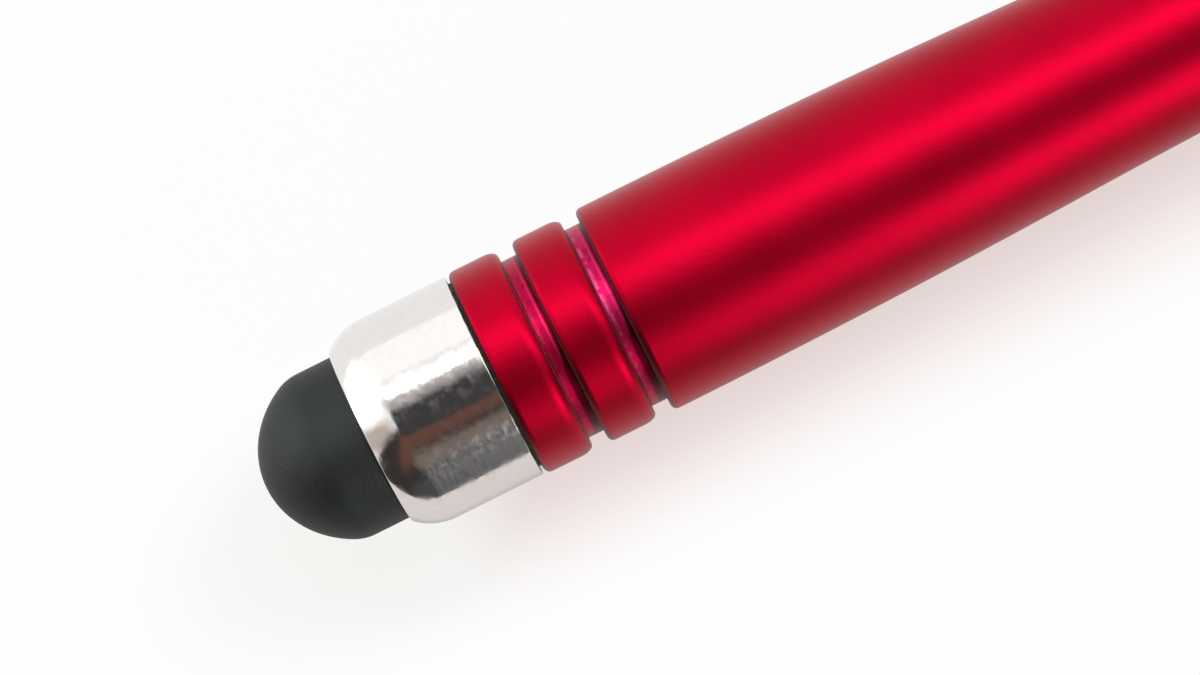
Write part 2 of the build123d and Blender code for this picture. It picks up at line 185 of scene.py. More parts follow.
class WritingEndSettings(bpy.types.PropertyGroup):
    """Sizes of the nose, the spring, the refill's tip and the ball."""

    nose_step: length("Nose step", "Step from the barrel down to the nose", 0.00003)
    mouth_radius: length("Mouth radius", "Outside radius of the nose's mouth", 0.0016)
    mouth_edge: length("Mouth edge", "Radius of the edge of the mouth", 0.00012)
    throat_radius: length("Throat radius", "Radius of the hole that the tip comes out of", 0.00125)
    throat_length: length("Throat length", "Length of that hole", 0.008)
    tube_bore: length("Tube bore", "Radius of the nose's bore for the refill's tube", 0.00175)
    spring_bore: length("Spring bore", "Radius of the nose's bore for the spring", 0.0022)
    spring_seat: length("Spring seat", "Depth of the spring's seat from the barrel's end", 0.005)
    spring_wire: length("Spring wire", "Radius of the spring's wire", 0.0002)
    spring_turns: IntProperty(name="Spring turns", description="Turns of the spring's wire", default=7, min=2)
    spigot_radius: length("Spigot radius", "Radius of the nose's spigot in the barrel", 0.00309)
    tip_radius: length("Tip radius", "Radius of the refill's tip", 0.00115)
    tip_shank_radius: length("Tip shank radius", "Radius of the tip's shank in the tube", 0.00118)
    tip_shank: length("Tip shank", "Length of that shank", 0.004)
    tip_cone: length("Tip cone", "Length of the tip's cone", 0.0036)
    tip_wall: length("Tip rim", "Width of the rim round the ball", 0.00008)
    ball_grip: length("Ball grip", "Reach of the rim past the ball's middle", 0.0002)
    ball_gap: length("Ball gap", "Room round the ball", 0.00002)
    ink_channel: length("Ink channel", "Radius of the hole that feeds the ball", 0.0003)


class FinishSettings(bpy.types.PropertyGroup):
    """Colours of the finishes."""

    rubber: colour("Rubber", "Black rubber of the dome", (0.0048, 0.0074, 0.0073))
    chrome: colour("Chrome", "Polished plating", (0.84, 0.815, 0.79))
    red: colour("Red", "Red anodising on the turned barrels", (0.435, 0.0008, 0.0195))
    groove_red: colour("First groove", "Anodising on the first groove's floor", (0.435, 0.003, 0.045))
    pink: colour("Second groove", "Brighter anodising on the second groove's floor", (0.52, 0.007, 0.082))
    # Colour of the painted highlights on the grooves' floors: specks and thin pale lines
    worn: colour("Worn edge", "Specks and thin pale lines on the grooves' floors", (0.6, 0.1, 0.24))
    brass: colour("Brass", "Turned brass of the inner parts", (0.72, 0.53, 0.25))
    steel: colour("Steel", "Drawn steel of the refill and the spring", (0.56, 0.56, 0.57))
    carbide: colour("Carbide", "Ground carbide of the writing ball", (0.33, 0.33, 0.35))
    black_plastic: colour("Black plastic", "Moulded plastic of the bushes", (0.03, 0.03, 0.032))
    white_plastic: colour("White plastic", "Moulded plastic of the cam", (0.75, 0.74, 0.7))
    ink: colour("Ink", "Ink paste", (0.008, 0.012, 0.1))


class GrainSettings(bpy.types.PropertyGroup):
    """Sizes of the lumps and heights of the reliefs in the finishes."""

    rubber_clouds: length("Rubber clouds", "Size of the rubber's lighter clouds", 0.0022)
    rubber_grain: length("Rubber grain", "Size of the rubber's grain", 0.00016)
    rubber_relief: length("Rubber relief", "Height of the rubber's grain", 0.000022)
    chrome_waves: length("Chrome waves", "Size of the plating's soft waves", 0.0014)
    chrome_wave_relief: length("Chrome wave relief", "Height of those waves", 0.000007)
    chrome_pits: length("Chrome pits", "Size of the plating's fine pits", 0.0005)
    chrome_pit_relief: length("Chrome pit relief", "Depth of those pits", 0.000005)
    chrome_clouds: length("Chrome clouds", "Size of the plating's duller spots", 0.0004)
    red_clouds: length("Red clouds", "Size of the anodising's deeper clouds", 0.0038)
    red_grain: length("Red grain", "Size of the anodising's grain", 0.00018)
    red_relief: length("Red relief", "Height of the anodising's grain", 0.0000045)
    groove_streaks: length("Groove streaks", "Size of the streaks on the grooves' floors", 0.00038)
    metal_clouds: length("Metal clouds", "Size of the turned metal's duller clouds", 0.00125)
    metal_rings: length("Metal rings", "Size of the turned metal's fine rings", 0.00011)
    metal_relief: length("Metal relief", "Height of those rings", 0.000002)
    plastic_clouds: length("Plastic clouds", "Size of the plastic's deeper clouds", 0.002)
    plastic_grain: length("Plastic grain", "Size of the plastic's grain", 0.00017)
    plastic_relief: length("Plastic relief", "Height of the plastic's grain", 0.000003)


class StudioSettings(bpy.types.PropertyGroup):
    """Camera, floor, lamps and the card round the pen."""

    camera_height: length("Camera height", "Height of the camera over the pen's axis", 0.1745)
    camera_station: length("Camera station", "Place of the camera along the axis from the dome", 0.01634)
    camera_side: length("Camera side", "Place of the camera sideways, from the axis", -0.000607)
    camera_turn: angle("Camera turn", "Angle of the axis in the picture", 26.55)
    camera_lens: FloatProperty(name="Lens", description="Focal length", default=117, unit="CAMERA")
    floor_radius: length("Floor radius", "Radius of the floor", 1.5)
    floor_colour: colour("Floor", "Pale paper of the floor", (0.66, 0.63, 0.62))
    floor_white: level("Floor white", "Brightness of the plain white in the floor", 1.0)
    # Painted shadow and painted bounce light of the pen on the floor
    dome_paler: share("Dome shadow", "How much paler the dome's shadow is than the barrel's", 0.6)
    barrel_tint: colour("Barrel tint", "Colour of the floor's white in the barrel's shadow", (1, 0.86, 0.84))
    dome_tint: colour("Dome tint", "Colour of the floor's white in the dome's shadow", (1, 0.99, 0.965))
    floor_mirrored: share("Mirrored glow", "Share of the floor's white that metal mirrors, lit side", 0.9)
    floor_glow: share("Floor glow", "Share of plain white in the pen's shadow", 0.58)
    floor_clear: share("Clear glow", "Share of plain white out of the pen's shadow", 0.95)
    shadow_shift: length("Shadow shift", "From the pen's axis to the shadow's middle, on the floor", 0.0035)
    shadow_start: length("Shadow start", "From the shadow's middle to where it starts to fade", 0.001)
    shadow_end: length("Shadow end", "From the shadow's middle to where it is gone", 0.008)
    white_start: length("White start", "Distance at which the floor starts to turn plain white", 0.15)
    white_end: length("White end", "Distance from which the floor is plain white", 0.5)
    ambient: level("Ambient", "Soft light from all round on dull surfaces", 0.74)
    key_angle: angle("Key angle", "Key lamp's angle from overhead", 21)
    lamp_distance: length("Lamp distance", "Distance of the lamps from the pen", 1.0)
    key_width: length("Key width", "Width of the key lamp, across the pen", 0.16)
    key_length: length("Key length", "Length of the key lamp, along the pen", 1.2)
    key_level: level("Key level", "Brightness of the key lamp's face", 7.5)
    key_shift: length("Key shift", "Place of the key lamp from the ferrule towards the point", 0.35)
    key_roll: angle("Key roll", "Turn of the key lamp in its own plane", -25)
    wall_angle: angle("Wall angle", "Angle from overhead of the bright wall on the key's side", 68)
    wall_length: length("Wall length", "Length of the bright wall, along the pen", 2.4)
    wall_height: length("Wall height", "Height of the bright wall", 0.74)
    wall_level: level("Wall level", "Brightness that the wall adds to the white all round", 0.19)
    fill_angle: angle("Fill angle", "Fill lamp's angle from overhead, on the other side", 62)
    fill_turn: angle("Fill turn", "Fill lamp's turn from straight across the pen towards its point", 19)
    fill_size: length("Fill size", "Width and length of the fill lamp", 0.4)
    fill_level: level("Fill level", "Brightness of the fill lamp's face", 7.6)
    card_radius: length("Card radius", "Distance of the card round the pen", 0.9)
    card_fall: angle("Card fall", "Angle from overhead of the card's rim", 96)
    card_drop: share("Card drop", "Share of the axis's height that the card's rim drops by", 0.9)


class PenSettings(bpy.types.PropertyGroup):
    """All settings of the pen."""

    head: PointerProperty(type=StylusHeadSettings)
    barrel: PointerProperty(type=BarrelSettings)
    clip: PointerProperty(type=ClipSettings)
    writing: PointerProperty(type=WritingEndSettings)
    finish: PointerProperty(type=FinishSettings)
    grain: PointerProperty(type=GrainSettings)
    studio: PointerProperty(type=StudioSettings)
    columns: IntProperty(name="Columns", description="Faces round a turned piece", default=256, min=32)
    arc_steps: IntProperty(name="Arc steps", description="Points on each small arc", default=10, min=3)
    curve_steps: IntProperty(name="Curve steps", description="Points on each long curve", default=48, min=8)
    sharp_angle: angle("Sharp angle", "Angle from which an edge between faces looks sharp", 35)


# Outlines: a complex number is a place along the axis plus 1j times the radius


# Half turn in radians under which an arc is drawn straight
straight_turn = 1e-9

# Share of a corner's shorter reach at which the points that hold its runs straight lie past the arc. A reach
# counts for no more than the same share of a run beside it.
hold_share = 0.25


def tangent_arc(start, direction, end, steps):
    """Arc that leaves start in a direction and reaches end. The chord to the point at share u of the arc lies
    at u times half the arc's whole turn from the direction, and is as long as the sine of that angle asks."""
    chord = end - start
    half_turn = np.angle(chord / direction)
    shares = np.linspace(0, 1, steps)
    if abs(half_turn) < straight_turn:
        return start + chord * shares
    turns = half_turn * shares
    unit = direction / abs(direction)
    return start + unit * np.exp(1j * turns) * np.sin(turns) / np.sin(half_turn) * abs(chord)


def s_bend(start, end, steps):
    """Two equal arcs from one point to another, level with the axis at both ends."""
    middle = (start + end) / 2
    return np.concatenate([tangent_arc(start, 1, middle, steps), tangent_arc(end, -1, middle, steps)[-2::-1]])


def rounded(corners, reaches, steps):
    """Line of straight runs whose inner corners are quarter ellipses. A corner's reach is how far before it
    the ellipse starts and how far after it the ellipse ends, or one number for both. At turn u it has come in
    by the sine of u and gone out by one less the cosine of u. A point close by on either run holds that run
    straight."""
    turns = np.linspace(0, math.pi / 2, steps)
    line = [np.array([corners[0]])]
    for before, corner, after, reach in zip(corners, corners[1:], corners[2:], reaches):
        runs = abs(corner - before), abs(after - corner)
        inward = (corner - before) / runs[0]
        outward = (after - corner) / runs[1]
        start, end = np.broadcast_to(reach, 2)
        if start:
            hold = hold_share * min(start, end, *(hold_share * run for run in runs))
            arc = corner - inward * start * (1 - np.sin(turns)) + outward * end * (1 - np.cos(turns))
            line.append(np.concatenate([[arc[0] - inward * hold], arc, [arc[-1] + outward * hold]]))
        else:
            line.append(np.array([corner]))
    line.append(np.array([corners[-1]]))
    return np.concatenate(line)


# Meshes


def column_turns(columns):
    """Even angles of a grid's columns, once round from minus half a turn. The clip's side is at 0."""
    return np.linspace(-math.pi, math.pi, columns, endpoint=False)


def turned(outline, turns):
    """Grid of points: outline point i, turned about the axis to angle j."""
    along, radius = outline.real[:, None], outline.imag[:, None]
    turns = np.broadcast_to(turns, (len(outline), np.shape(turns)[-1]))
    return np.stack(
        [along + 0 * turns, radius * np.sin(turns), axis_height - radius * np.cos(turns)], axis=-1
    )


def grid_quads(rows, columns, closed):
    """Corner numbers of a grid's faces. The columns close on themselves, and if closed, so do the rows."""
    index = np.arange(rows * columns).reshape(rows, columns)
    after = np.roll(index, -1, axis=0)
    quads = np.stack([index, np.roll(index, -1, axis=1), np.roll(after, -1, axis=1), after], axis=-1)
    return quads if closed else quads[:-1]


# Decimals of a metre to which corners at the same place agree
place_decimals = 9


def merged_corners(points, quads):
    """Give all corners at the same place the same number, so that seams and poles are closed."""
    flat = points.reshape(-1, 3)
    rough = np.round(flat, place_decimals)
    _, first, number = np.unique(rough, axis=0, return_index=True, return_inverse=True)
    return flat[first], number.reshape(-1)[quads.reshape(-1, 4)]


def outward_faces(points, quads):
    """Triangles and quads of a shape. A face with one side of no length becomes a triangle, and one with more
    such sides is left out. All are turned round if the volume inside is negative: the sum over triangles of
    the first corner dotted with the cross product of the others."""
    repeats = np.stack([quads[:, side] == quads[:, (side + 1) % 4] for side in range(4)], axis=-1)
    whole = quads[~repeats.any(axis=1)]
    pinched = repeats.sum(axis=1) == 1
    triangles = quads[pinched][~repeats[pinched]].reshape(-1, 3)
    fans = np.concatenate([triangles, whole[:, [0, 1, 2]], whole[:, [0, 2, 3]]])
    first, second, third = (points[fans[:, corner]] for corner in range(3))
    if np.einsum("ij,ij->", first, np.cross(second, third)) < 0:
        return triangles[:, ::-1], whole[:, ::-1]
    return triangles, whole


def add_piece(name, points, quads):
    """Mesh object from a grid of points and its faces, with outward normals and smooth shading."""
    points, quads = merged_corners(points, quads)
    triangles, whole = outward_faces(points, quads)
    corners = np.concatenate([triangles.ravel(), whole.ravel()])
    sizes = np.repeat([3, 4], [len(triangles), len(whole)])
    used, corners = np.unique(corners, return_inverse=True)
    mesh = bpy.data.meshes.new(name)
    mesh.vertices.add(len(used))
    mesh.vertices.foreach_set("co", points[used].ravel())
    mesh.loops.add(len(corners))
    mesh.loops.foreach_set("vertex_index", corners)
    mesh.polygons.add(len(sizes))
    mesh.polygons.foreach_set("loop_start", np.cumsum(sizes) - sizes)
    mesh.update(calc_edges=True)
    if mesh.validate():
        raise ValueError(f"the mesh of {name} is faulty")
    mesh.shade_smooth()
    mesh.set_sharp_from_angle(angle=bpy.context.scene.stylus_pen.sharp_angle)
    piece = bpy.data.objects.new(name, mesh)
    bpy.context.scene.collection.objects.link(piece)
    return piece


def add_turned(name, outline, settings, closed=True):
    """Piece turned from an outline that closes on itself, or that starts and ends on the axis."""
    points = turned(outline, column_turns(settings.columns))
    return add_piece(name, points, grid_quads(len(outline), settings.columns, closed))


def stand_for(piece, node, body):
    """Let a piece take the place, the body and the finish of a node."""
    slot = next(part["material_slot"] for part in record["subparts"] if part["node"] == node)
    piece.data.materials.append(finish(slot))
    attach(piece, body)
    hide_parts(node)


# Shaders


class Value:
    """Output of a shader node. Arithmetic on it adds Math nodes."""

    def __init__(self, shader, socket):
        self.shader = shader
        self.socket = socket

    def math(self, operation, *values):
        """Math node whose first value this is."""
        return self.shader.math(operation, self, *values)

    def __add__(self, other):
        return self.math("ADD", other)

    def __sub__(self, other):
        return self.math("SUBTRACT", other)

    def __rsub__(self, other):
        return self.shader.math("SUBTRACT", other, self)

    def __mul__(self, other):
        return self.math("MULTIPLY", other)

    def __truediv__(self, other):
        return self.math("DIVIDE", other)

    def __pow__(self, other):
        return self.math("POWER", other)

    __radd__ = __add__
    __rmul__ = __mul__


class Shader:
    """Node tree of a material or a world."""

    def __init__(self, owner):
        owner.use_nodes = True
        self.tree = owner.node_tree
        self.tree.nodes.clear()

    def node(self, kind, settings=(), sockets=(), output=0):
        """Add a node: first its settings, then the values or links of its sockets."""
        node = self.tree.nodes.new(kind)
        for name, value in dict(settings).items():
            setattr(node, name, value)
        for name, value in dict(sockets).items():
            if isinstance(value, Value):
                self.tree.links.new(value.socket, node.inputs[name])
            else:
                node.inputs[name].default_value = value
        return Value(self, node.outputs[output]) if node.outputs else None

    def math(self, operation, *values):
        """Math node on values, numbers or both."""
        return self.node("ShaderNodeMath", {"operation": operation}, dict(enumerate(values)))

    def mix(self, factor, first, second):
        """Colour between two colours. Sockets 6 and 7 take the Mix node's colours, and output 2 gives one."""
        colours = [tone if isinstance(tone, Value) else (*tone, 1) for tone in (first, second)]
        sockets = {0: factor, 6: colours[0], 7: colours[1]}
        return self.node("ShaderNodeMix", {"data_type": "RGBA"}, sockets, output=2)

    def places(self):
        """Object coordinates."""
        return self.node("ShaderNodeTexCoord", output="Object")

    def split(self, vector):
        """The three parts of a vector."""
        return [self.node("ShaderNodeSeparateXYZ", {}, {0: vector}, output=part) for part in range(3)]

    def noise(self, vector, lump, detail=2.0):
        """Cloudy pattern from 0 to 1, in lumps of a size."""
        return self.node("ShaderNodeTexNoise", {}, {"Vector": vector, "Scale": 1 / lump, "Detail": detail})

    def ramp(self, value, low, high, first=0.0, last=1.0):
        """Smooth step of a value between two limits."""
        sockets = {"Value": value, "From Min": low, "From Max": high, "To Min": first, "To Max": last}
        return self.node("ShaderNodeMapRange", {"interpolation_type": "SMOOTHSTEP"}, sockets)

    def band(self, value, rise, fall):
        """1 for values between two soft edges, each from a low to a high limit, and 0 outside them."""
        return self.ramp(value, *rise) * self.ramp(value, *fall, 1.0, 0.0)

    def bump(self, height, distance, normal=None):
        """Normal of a relief whose whole height is a distance."""
        sockets = {"Height": height, "Distance": distance, "Strength": 1.0}
        if normal:
            sockets["Normal"] = normal
        return self.node("ShaderNodeBump", {}, sockets)

    def principled(self, **sockets):
        """Finish the material with its surface shader; _ in a socket's name stands for a space."""
        named = {name.replace("_", " "): value for name, value in sockets.items()}
        surface = self.node("ShaderNodeBsdfPrincipled", {}, named)
        self.node("ShaderNodeOutputMaterial", {}, {"Surface": surface})


def finish_name(slot):
    """Name of the material for one of the record's slots."""
    return f"{slot}_finish"


def new_material(name):
    """Empty material and its shader."""
    material = bpy.data.materials.new(name)
    return material, Shader(material)


def radius_of(shader, place):
    """Distance from the pen's axis."""
    _, side, height = shader.split(place)
    drop = height - axis_height
    return (side * side + drop * drop) ** 0.5


def rubber(colours, grain):
    """Matte moulded rubber with a fine grain and faint lighter clouds."""
    material, shader = new_material(finish_name("rubber"))
    place = shader.places()
    clouds = shader.noise(place, grain.rubber_clouds, 3.0)
    base = tuple(colours.rubber)
    lighter = tuple(1.5 * channel for channel in base)
    shader.principled(
        Base_Color=shader.mix(shader.ramp(clouds, 0.35, 0.7), base, lighter),
        Roughness=0.52 + 0.1 * clouds,
        Normal=shader.bump(shader.noise(place, grain.rubber_grain), grain.rubber_relief),
        Specular_IOR_Level=0.38,
    )
    return material


# How much closer together the plating's pits are along the pen, sideways and upwards
pit_shares = (2.5, 1, 1)


def chrome(colours, grain):
    """Polished plating over metal that isn't quite even: soft waves, duller spots, and fine pits that are
    longer round the pen than along it."""
    material, shader = new_material(finish_name("chrome"))
    place = shader.places()
    waves = shader.noise(place, grain.chrome_waves)
    stretched = shader.node("ShaderNodeVectorMath", {"operation": "MULTIPLY"}, {0: place, 1: pit_shares})
    pits = shader.noise(stretched, grain.chrome_pits, 1.0)
    spots = shader.ramp(shader.noise(place, grain.chrome_clouds, 3.0), 0.35, 0.7)
    base = tuple(colours.chrome)
    duller = tuple(0.97 * channel for channel in base)
    relief = shader.bump(pits, grain.chrome_pit_relief, shader.bump(waves, grain.chrome_wave_relief))
    shader.principled(
        Base_Color=shader.mix(spots, base, duller),
        Metallic=1.0,
        Roughness=0.085 + 0.09 * spots,
        Normal=relief,
    )
    return material


def red_anodised(colours, grain):
    """Satin red anodising: even and fine-grained outside, with painted shade on the rings' rounded front
    edges, and brighter and glossier on the grooves' floors, which carry painted highlights and shade."""
    material, shader = new_material(finish_name("red_anodised"))
    place = shader.places()
    clouds = shader.noise(place, grain.red_clouds, 3.0)
    streaks = shader.noise(place, grain.groove_streaks, 3.0)
    base = tuple(colours.red)
    deeper = tuple(0.9 * channel for channel in base)
    satin = shader.mix(shader.ramp(clouds, 0.3, 0.7), deeper, base)
    # Painted shade: black is mixed into the rings' rounded front edges
    edge_shaded = shader.mix(0.7 * painted_edge_shade(shader, place), satin, (0, 0, 0))
    groove, floor = groove_floors(shader, place, streaks, colours)
    shader.principled(
        Base_Color=shader.mix(groove, edge_shaded, floor),
        Metallic=1.0,
        Roughness=0.385 + 0.05 * clouds - groove * (0.06 - 0.08 * streaks),
        Normal=shader.bump(shader.noise(place, grain.red_grain), grain.red_relief),
        Sheen_Weight=0.15,
        Sheen_Roughness=0.37,
    )
    return material


def ring_pitch(barrel):
    """Distance from a ring's front edge to the next one's."""
    return barrel.ring_width + barrel.groove_width


def painted_edge_shade(shader, place):
    """Mask of the painted shade on the rounded front edges of the two rings and of the barrel behind them."""
    along, _, _ = shader.split(place)
    barrel = bpy.context.scene.stylus_pen.barrel
    pitch = ring_pitch(barrel)
    inset = shader.math("FLOORED_MODULO", along - barrel_start, pitch)
    ringed = shader.math("LESS_THAN", along, barrel_start + 2 * pitch + barrel.ring_edge)
    return ringed * shader.ramp(inset, 0, barrel.ring_edge, 1.0, 0.0)


# Soft edges of the painted highlights and painted corner shade on a groove's floor, as shares of its
# width from the ring before it
highlight_band_shares = (0.06, 0.16), (0.2, 0.4)
line_shares = (0.62, 0.68), (0.7, 0.78)
corner_shade_shares = (0.02, 0.1), (0.72, 0.92)


def groove_floors(shader, place, streaks, colours):
    """Mask of the two grooves' floors, and the floors' colour: painted highlight specks behind the ring,
    most of all in the second groove, a thin painted highlight line further on, and painted shade in both
    corners. Towards -Y, the side away from the key lamp, the floors are less pink, the painted highlights
    fade, and the far corner's painted shade is wider, a painted shadow of the next ring's wall."""
    along, side, _ = shader.split(place)
    barrel = bpy.context.scene.stylus_pen.barrel
    width, pitch = barrel.groove_width, ring_pitch(barrel)
    first = barrel_start + barrel.ring_width
    floor = half_width("upper_barrel") - barrel.groove_depth
    low = shader.math("LESS_THAN", radius_of(shader, place), floor + barrel.groove_edge)
    behind = shader.math("GREATER_THAN", along, first)
    before = shader.math("LESS_THAN", along, first + pitch + width)
    inset = shader.math("FLOORED_MODULO", along - first, pitch) / width
    second = shader.ramp(along, first + width, first + pitch)
    # Painted shade: 1 on the -Y side, away from the key lamp, and 0 from the axis towards +Y
    shaded = shader.ramp(side, -0.4 * floor, 0, 1.0, 0.0)
    pinker = second * (1 - 0.8 * shaded)
    red = shader.mix(pinker, tuple(colours.groove_red), tuple(colours.pink))
    streaked = shader.mix(shader.ramp(streaks, 0.4, 0.75, 0.0, 0.35), red, (0, 0, 0))
    # Painted highlights: pale specks behind the ring and a thin pale line further on
    highlight_band = shader.band(inset, *highlight_band_shares)
    specks = highlight_band * shader.ramp(streaks, 0.42, 0.62) * (0.15 + 0.65 * pinker)
    line = 0.25 * shader.band(inset, *line_shares) * (1 - shaded)
    worn = shader.mix(specks.math("MAXIMUM", line), streaked, tuple(colours.worn))
    # Painted shade in both corners of the floor, wider in the far corner on the -Y side
    near = 0.75 * shader.ramp(inset, *corner_shade_shares[0], 1.0, 0.0)
    far = 0.8 * shader.ramp(inset + 0.3 * shaded, *corner_shade_shares[1])
    return low * behind * before, shader.mix(near + far, worn, (0, 0, 0))


def turned_metal(name, base, grain, roughness):
    """Turned metal with fine rings round the axis and faint clouds."""
    material, shader = new_material(finish_name(name))
    place = shader.places()
    along, _, _ = shader.split(place)
    rings = shader.noise(shader.node("ShaderNodeCombineXYZ", {}, {0: along}), grain.metal_rings)
    clouds = shader.noise(place, grain.metal_clouds, 3.0)
    base = tuple(base)
    duller = tuple(0.8 * channel for channel in base)
    shader.principled(
        Base_Color=shader.mix(shader.ramp(clouds, 0.3, 0.7), base, duller),
        Metallic=1.0,
        Roughness=roughness + 0.1 * clouds,
        Normal=shader.bump(rings, grain.metal_relief),
    )
    return material


def brass(colours, grain):
    """Turned brass of the inner parts."""
    return turned_metal("brass", colours.brass, grain, 0.25)


def steel(colours, grain):
    """Drawn steel of the refill and the spring."""
    return turned_metal("steel", colours.steel, grain, 0.2)


def carbide(colours, grain):
    """Ground carbide of the writing ball."""
    return turned_metal("carbide", colours.carbide, grain, 0.12)


def moulded_plastic(name, base, grain, roughness):
    """Moulded plastic with a fine grain and faint clouds."""
    material, shader = new_material(finish_name(name))
    place = shader.places()
    clouds = shader.noise(place, grain.plastic_clouds, 3.0)
    base = tuple(base)
    deeper = tuple(0.85 * channel for channel in base)
    shader.principled(
        Base_Color=shader.mix(shader.ramp(clouds, 0.3, 0.7), deeper, base),
        Roughness=roughness + 0.1 * clouds,
        Normal=shader.bump(shader.noise(place, grain.plastic_grain), grain.plastic_relief),
    )
    return material


def black_plastic(colours, grain):
    """Black plastic of the bushes."""
    return moulded_plastic("black_plastic", colours.black_plastic, grain, 0.4)


def white_plastic(colours, grain):
    """White plastic of the cam."""
    return moulded_plastic("white_plastic", colours.white_plastic, grain, 0.35)


def ink(colours, grain):
    """Glossy paste in the refill."""
    return moulded_plastic("ink", colours.ink, grain, 0.1)


finishes = {
    "rubber": rubber,
    "chrome": chrome,
    "red_anodised": red_anodised,
    "brass": brass,
    "steel": steel,
    "carbide": carbide,
    "black_plastic": black_plastic,
    "white_plastic": white_plastic,
    "ink": ink,
}


def finish(slot):
    """Material of one of the record's slots, made once."""
    pen = bpy.context.scene.stylus_pen
    return bpy.data.materials.get(finish_name(slot)) or finishes[slot](pen.finish, pen.grain)


# Pieces


# Waves round an uneven edge: how many there are, and the angle in radians at which they start
ripple_waves = ((7, 0.4), (17, 2.1), (41, 4.0))


def ripple(turns, size):
    """Unevenness round an edge, from 0 to a size: the mean of three sines, moved and halved to lie in it."""
    waves = np.mean([np.sin(count * turns + start) for count, start in ripple_waves], axis=0)
    return size * (waves + 1) / 2


class StylusDome(bpy.types.Operator):
    """Hollow rubber dome: an ellipsoid's end on a straight part, with a flange behind the ferrule's lip"""

    bl_idname = "stylus_pen.dome"
    bl_label = "Stylus dome"

    def execute(self, context):
        pen = context.scene.stylus_pen
        head = pen.head
        flange_radius = half_width("stylus_dome")
        flange_start = dome_end - head.flange_length
        bore = head.dome_radius - head.dome_wall
        widest = math.asin(head.dome_radius / head.cap_width)
        turns = np.linspace(0, widest, pen.curve_steps)
        cap = dome_tip + head.cap_reach * (1 - np.cos(turns)) + 1j * head.cap_width * np.sin(turns)
        cap_end = cap[-1].real
        cap = cap[abs(cap - cap[-1]) > head.dome_edge / 2]
        kink_end = cap_end + head.dome_edge / 2 + 1j * head.dome_radius
        kink = tangent_arc(kink_end, -1, cap[-1], pen.arc_steps)[::-1]
        sides = np.array(
            [
                flange_start + 1j * head.dome_radius,
                flange_start + 1j * flange_radius,
                dome_end + 1j * flange_radius,
                dome_end + 1j * bore,
            ]
        )
        hollow = tangent_arc(dome_tip + head.dome_wall, 1j, cap_end + 1j * bore, pen.curve_steps)[::-1]
        outline = np.concatenate([cap[:-1], kink, sides, hollow])
        stand_for(add_turned("rubber_dome", outline, pen, closed=False), "stylus_dome", "upper_half")
        return {"FINISHED"}


class Ferrule(bpy.types.Operator):
    """Chromed sleeve with a rounded shoulder and a slightly uneven edge at the barrel"""

    bl_idname = "stylus_pen.ferrule"
    bl_label = "Ferrule"

    def execute(self, context):
        pen = context.scene.stylus_pen
        head = pen.head
        radius = half_width("ferrule")
        bore = radius - head.ferrule_wall
        lip_bore = head.dome_radius + head.seat_clearance
        shoulder_end = ferrule_start + head.shoulder_length + 1j * radius
        sleeve = rounded(
            [
                shoulder_end,
                ferrule_end + 1j * radius,
                ferrule_end + 1j * bore,
                shoulder_end.real + 1j * bore,
                shoulder_end.real + 1j * lip_bore,
                ferrule_start + 1j * lip_bore,
            ],
            [head.ferrule_edge, 0, 0, 0],
            pen.arc_steps,
        )
        outline = np.concatenate([self.shoulder(pen, shoulder_end), sleeve[1:]])
        turns = column_turns(pen.columns)
        points = turned(outline, turns)
        # The ripple grows from none two edge radii before the end to all of it one before the end
        grown = np.clip((outline.real - ferrule_end) / head.ferrule_edge + 2, 0, 1)
        points[:, :, 0] -= grown[:, None] * ripple(turns, head.ferrule_ripple)
        piece = add_piece("chrome_ferrule", points, grid_quads(len(outline), pen.columns, True))
        stand_for(piece, "ferrule", "upper_half")
        return {"FINISHED"}

    def shoulder(self, pen, end):
        """Small arc of the lip's edge and the shoulder's long arc up to its end. The two touch where the line
        through their centres meets them."""
        head = pen.head
        edge = ferrule_start + 1j * (head.dome_radius + head.seat_clearance + head.lip_face)
        drop = end.imag - edge.imag
        run = head.shoulder_length - head.lip_edge
        radius = (run**2 + drop**2 - head.lip_edge**2) / (2 * (drop - head.lip_edge))
        centre = end - 1j * radius
        meeting = centre + (edge + head.lip_edge - centre) * radius / (radius - head.lip_edge)
        lip = tangent_arc(edge, 1j, meeting, pen.arc_steps)
        return np.concatenate([lip, tangent_arc(end, -1, meeting, pen.curve_steps)[-2::-1]])


class Gasket(bpy.types.Operator):
    """Thin black washer with an uneven rim, in the joint between ferrule and barrel"""

    bl_idname = "stylus_pen.gasket"
    bl_label = "Gasket"

    def execute(self, context):
        pen = context.scene.stylus_pen
        head = pen.head
        rim = half_width("head_gasket")
        outline = np.array(
            [
                gasket_start + 1j * head.gasket_bore,
                gasket_start + 1j * rim,
                gasket_end + 1j * rim,
                gasket_end + 1j * head.gasket_bore,
            ]
        )
        turns = column_turns(pen.columns)
        uneven = 1 - ripple(turns, head.gasket_ripple) / rim
        shrink = np.where(outline.imag[:, None] < rim, 1, uneven)[:, :, None]
        points = turned(outline, turns)
        axis = np.array([0, axis_height])
        points[:, :, 1:] = axis + (points[:, :, 1:] - axis) * shrink
        piece = add_piece("head_gasket_ring", points, grid_quads(len(outline), pen.columns, True))
        stand_for(piece, "head_gasket", "upper_half")
        return {"FINISHED"}


